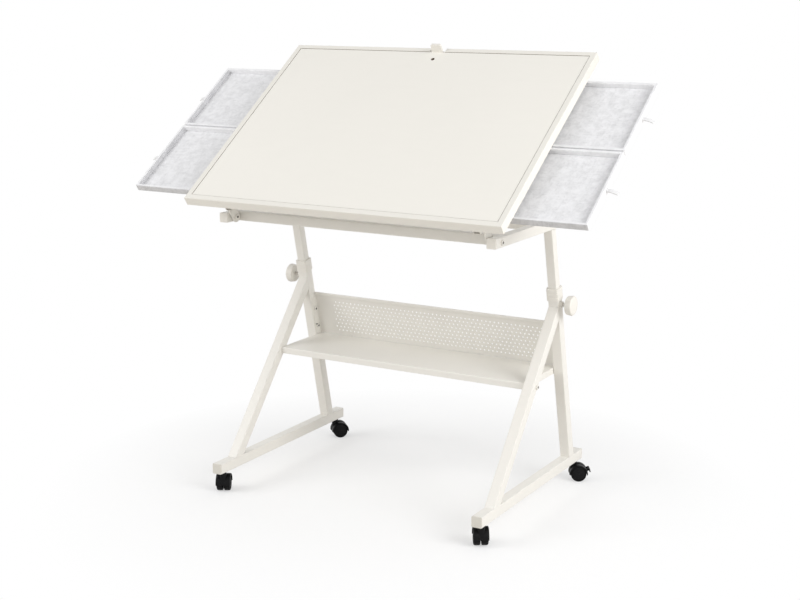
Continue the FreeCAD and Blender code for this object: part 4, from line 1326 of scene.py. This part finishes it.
@dataclass
class Studio:
    """A white floor, soft lamps and the camera at the photograph's place.

    Attributes:
        camera_place: Where the camera stands.
        camera_down: How far it looks down, in degrees.
        camera_turn: How far it is turned to its left, in degrees.
        focal_length: The lens in millimetres.
        sight: How far the camera sees.
        lamps: The soft boxes.
        lamp_target: The point that they look at.
        ambient: Strength of the even light all round.
        floor_size: Half the floor's width.
        floor_colour: The floor's colour, as it throws light back on the table.
        floor_seen: The floor's colour as the camera sees it.
        floor_speck: The darkest specks on it, as a share of that colour.
        floor_roughness: The floor's roughness.
        floor_glow: How far the floor near the table is lifted to white.
        glow_start: Distance at which it starts to be lifted farther.
        glow_end: Distance from which it is white.
    """

    camera_place: Triple = (1.8419, -3.1574, 1.3111)
    camera_down: float = 12.40
    camera_turn: float = 30.06
    focal_length: float = 64.66
    sight: float = 100.0
    lamps: tuple[Lamp, ...] = (
        Lamp("key_right", (3.5, -0.8, 2.4), 2.2, 72.5),
        Lamp("low_right", (3.8, -0.5, 1.4), 2.2, 23.0),
        Lamp("fill_left", (-2.8, -2.8, 2.4), 2.4, 77.0),
    )
    lamp_target: Triple = (0.0, 0.0, 0.7)
    ambient: float = 0.485
    floor_size: float = 30.0
    floor_colour: Colour = (0.75, 0.72, 0.675)
    floor_seen: Colour = WHITE
    floor_speck: float = 0.99
    floor_roughness: float = 0.9
    floor_glow: float = 0.42
    glow_start: float = 0.42
    glow_end: float = 0.95

    def build(self) -> None:
        """Set up everything that isn't the table."""
        scene = bpy.context.scene
        scene.view_settings.view_transform = "Standard"
        self.add_camera(scene)
        self.add_world(scene)
        self.add_floor()
        for lamp in self.lamps:
            lamp.build(self.lamp_target)

    def add_camera(self, scene: bpy.types.Scene) -> None:
        """Stand the camera where the photograph was taken.

        Args:
            scene: The scene that is seen through it.
        """
        lens = bpy.data.cameras.new("photo_camera")
        lens.lens = self.focal_length
        lens.clip_end = self.sight
        camera = bpy.data.objects.new("photo_camera", lens)
        camera.location = self.camera_place
        camera.rotation_euler = (math.radians(90.0 - self.camera_down), 0.0, math.radians(self.camera_turn))
        scene.collection.objects.link(camera)
        scene.camera = camera

    def add_world(self, scene: bpy.types.Scene) -> None:
        """Light the scene evenly all round, with a backdrop that is seen as plain white.

        Args:
            scene: The scene that is lit.
        """
        world = bpy.data.worlds.new("studio_white")
        world.use_nodes = True
        graph = Graph(world.node_tree)
        light = graph.add("ShaderNodeBackground", None, {"Color": WHITE, "Strength": self.ambient})
        white = graph.add("ShaderNodeBackground", None, {"Color": WHITE, "Strength": 1.0})
        shown = graph.add("ShaderNodeMixShader", None, {0: self.seen_ray(graph), 1: light, 2: white})
        graph.feed(world.node_tree.nodes["World Output"].inputs["Surface"], shown)
        scene.world = world

    @staticmethod
    def seen_ray(graph: Graph) -> Field:
        """Tell the rays that show the backdrop itself from those that light the table.

        Args:
            graph: The node tree that asks.

        Returns:
            1 for a ray that shows it, directly, mirrored or through glass.
        """
        camera = graph.add("ShaderNodeLightPath", output="Is Camera Ray")
        glossy = graph.add("ShaderNodeLightPath", output="Is Glossy Ray")
        through = graph.add("ShaderNodeLightPath", output="Is Transmission Ray")
        return camera + glossy + through

    def floor_paint(self) -> bpy.types.Material:
        """Mix a matt white that takes the table's shadow and is lifted towards white where it is seen.

        Returns:
            The floor's material.
        """
        paint = bpy.data.materials.new("studio_floor")
        paint.use_nodes = True
        nodes = paint.node_tree.nodes
        graph = Graph(paint.node_tree)
        specks = graph.cloud(9.0, detail=4.0)
        pale = graph.blend(specks, tinted(self.floor_seen, self.floor_speck), self.floor_seen)
        graph.surface("Base Color", graph.blend(self.seen_ray(graph), self.floor_colour, pale))
        graph.surface("Roughness", self.floor_roughness)
        matt = Field(graph, nodes["Principled BSDF"].outputs[0])
        glow = graph.add("ShaderNodeEmission", None, {"Color": WHITE, "Strength": 1.0})
        place = graph.add("ShaderNodeTexCoord", output="Object")
        distance = graph.add("ShaderNodeVectorMath", {"operation": "LENGTH"}, {0: place}, "Value")
        far = graph.ramp(distance, self.glow_start, self.glow_end)
        lifted = self.floor_glow + (1 - self.floor_glow) * far
        shown = graph.add("ShaderNodeMixShader", None, {0: self.seen_ray(graph) * lifted, 1: matt, 2: glow})
        graph.feed(nodes["Material Output"].inputs["Surface"], shown)
        return paint

    def add_floor(self) -> None:
        """Lay a wide floor under the table."""
        shape = bmesh.new()
        bmesh.ops.create_grid(shape, x_segments=1, y_segments=1, size=self.floor_size)
        mesh = bpy.data.meshes.new("studio_floor")
        shape.to_mesh(mesh)
        shape.free()
        mesh.materials.append(self.floor_paint())
        floor = bpy.data.objects.new("studio_floor", mesh)
        bpy.context.scene.collection.objects.link(floor)


def main() -> None:
    """Build the table and its studio."""
    logging.basicConfig(level=logging.INFO)
    PuzzleTable().build()
    LOG.info("table built")
    Studio().build()
    LOG.info("studio set up")


if __name__ == "__main__":
    main()
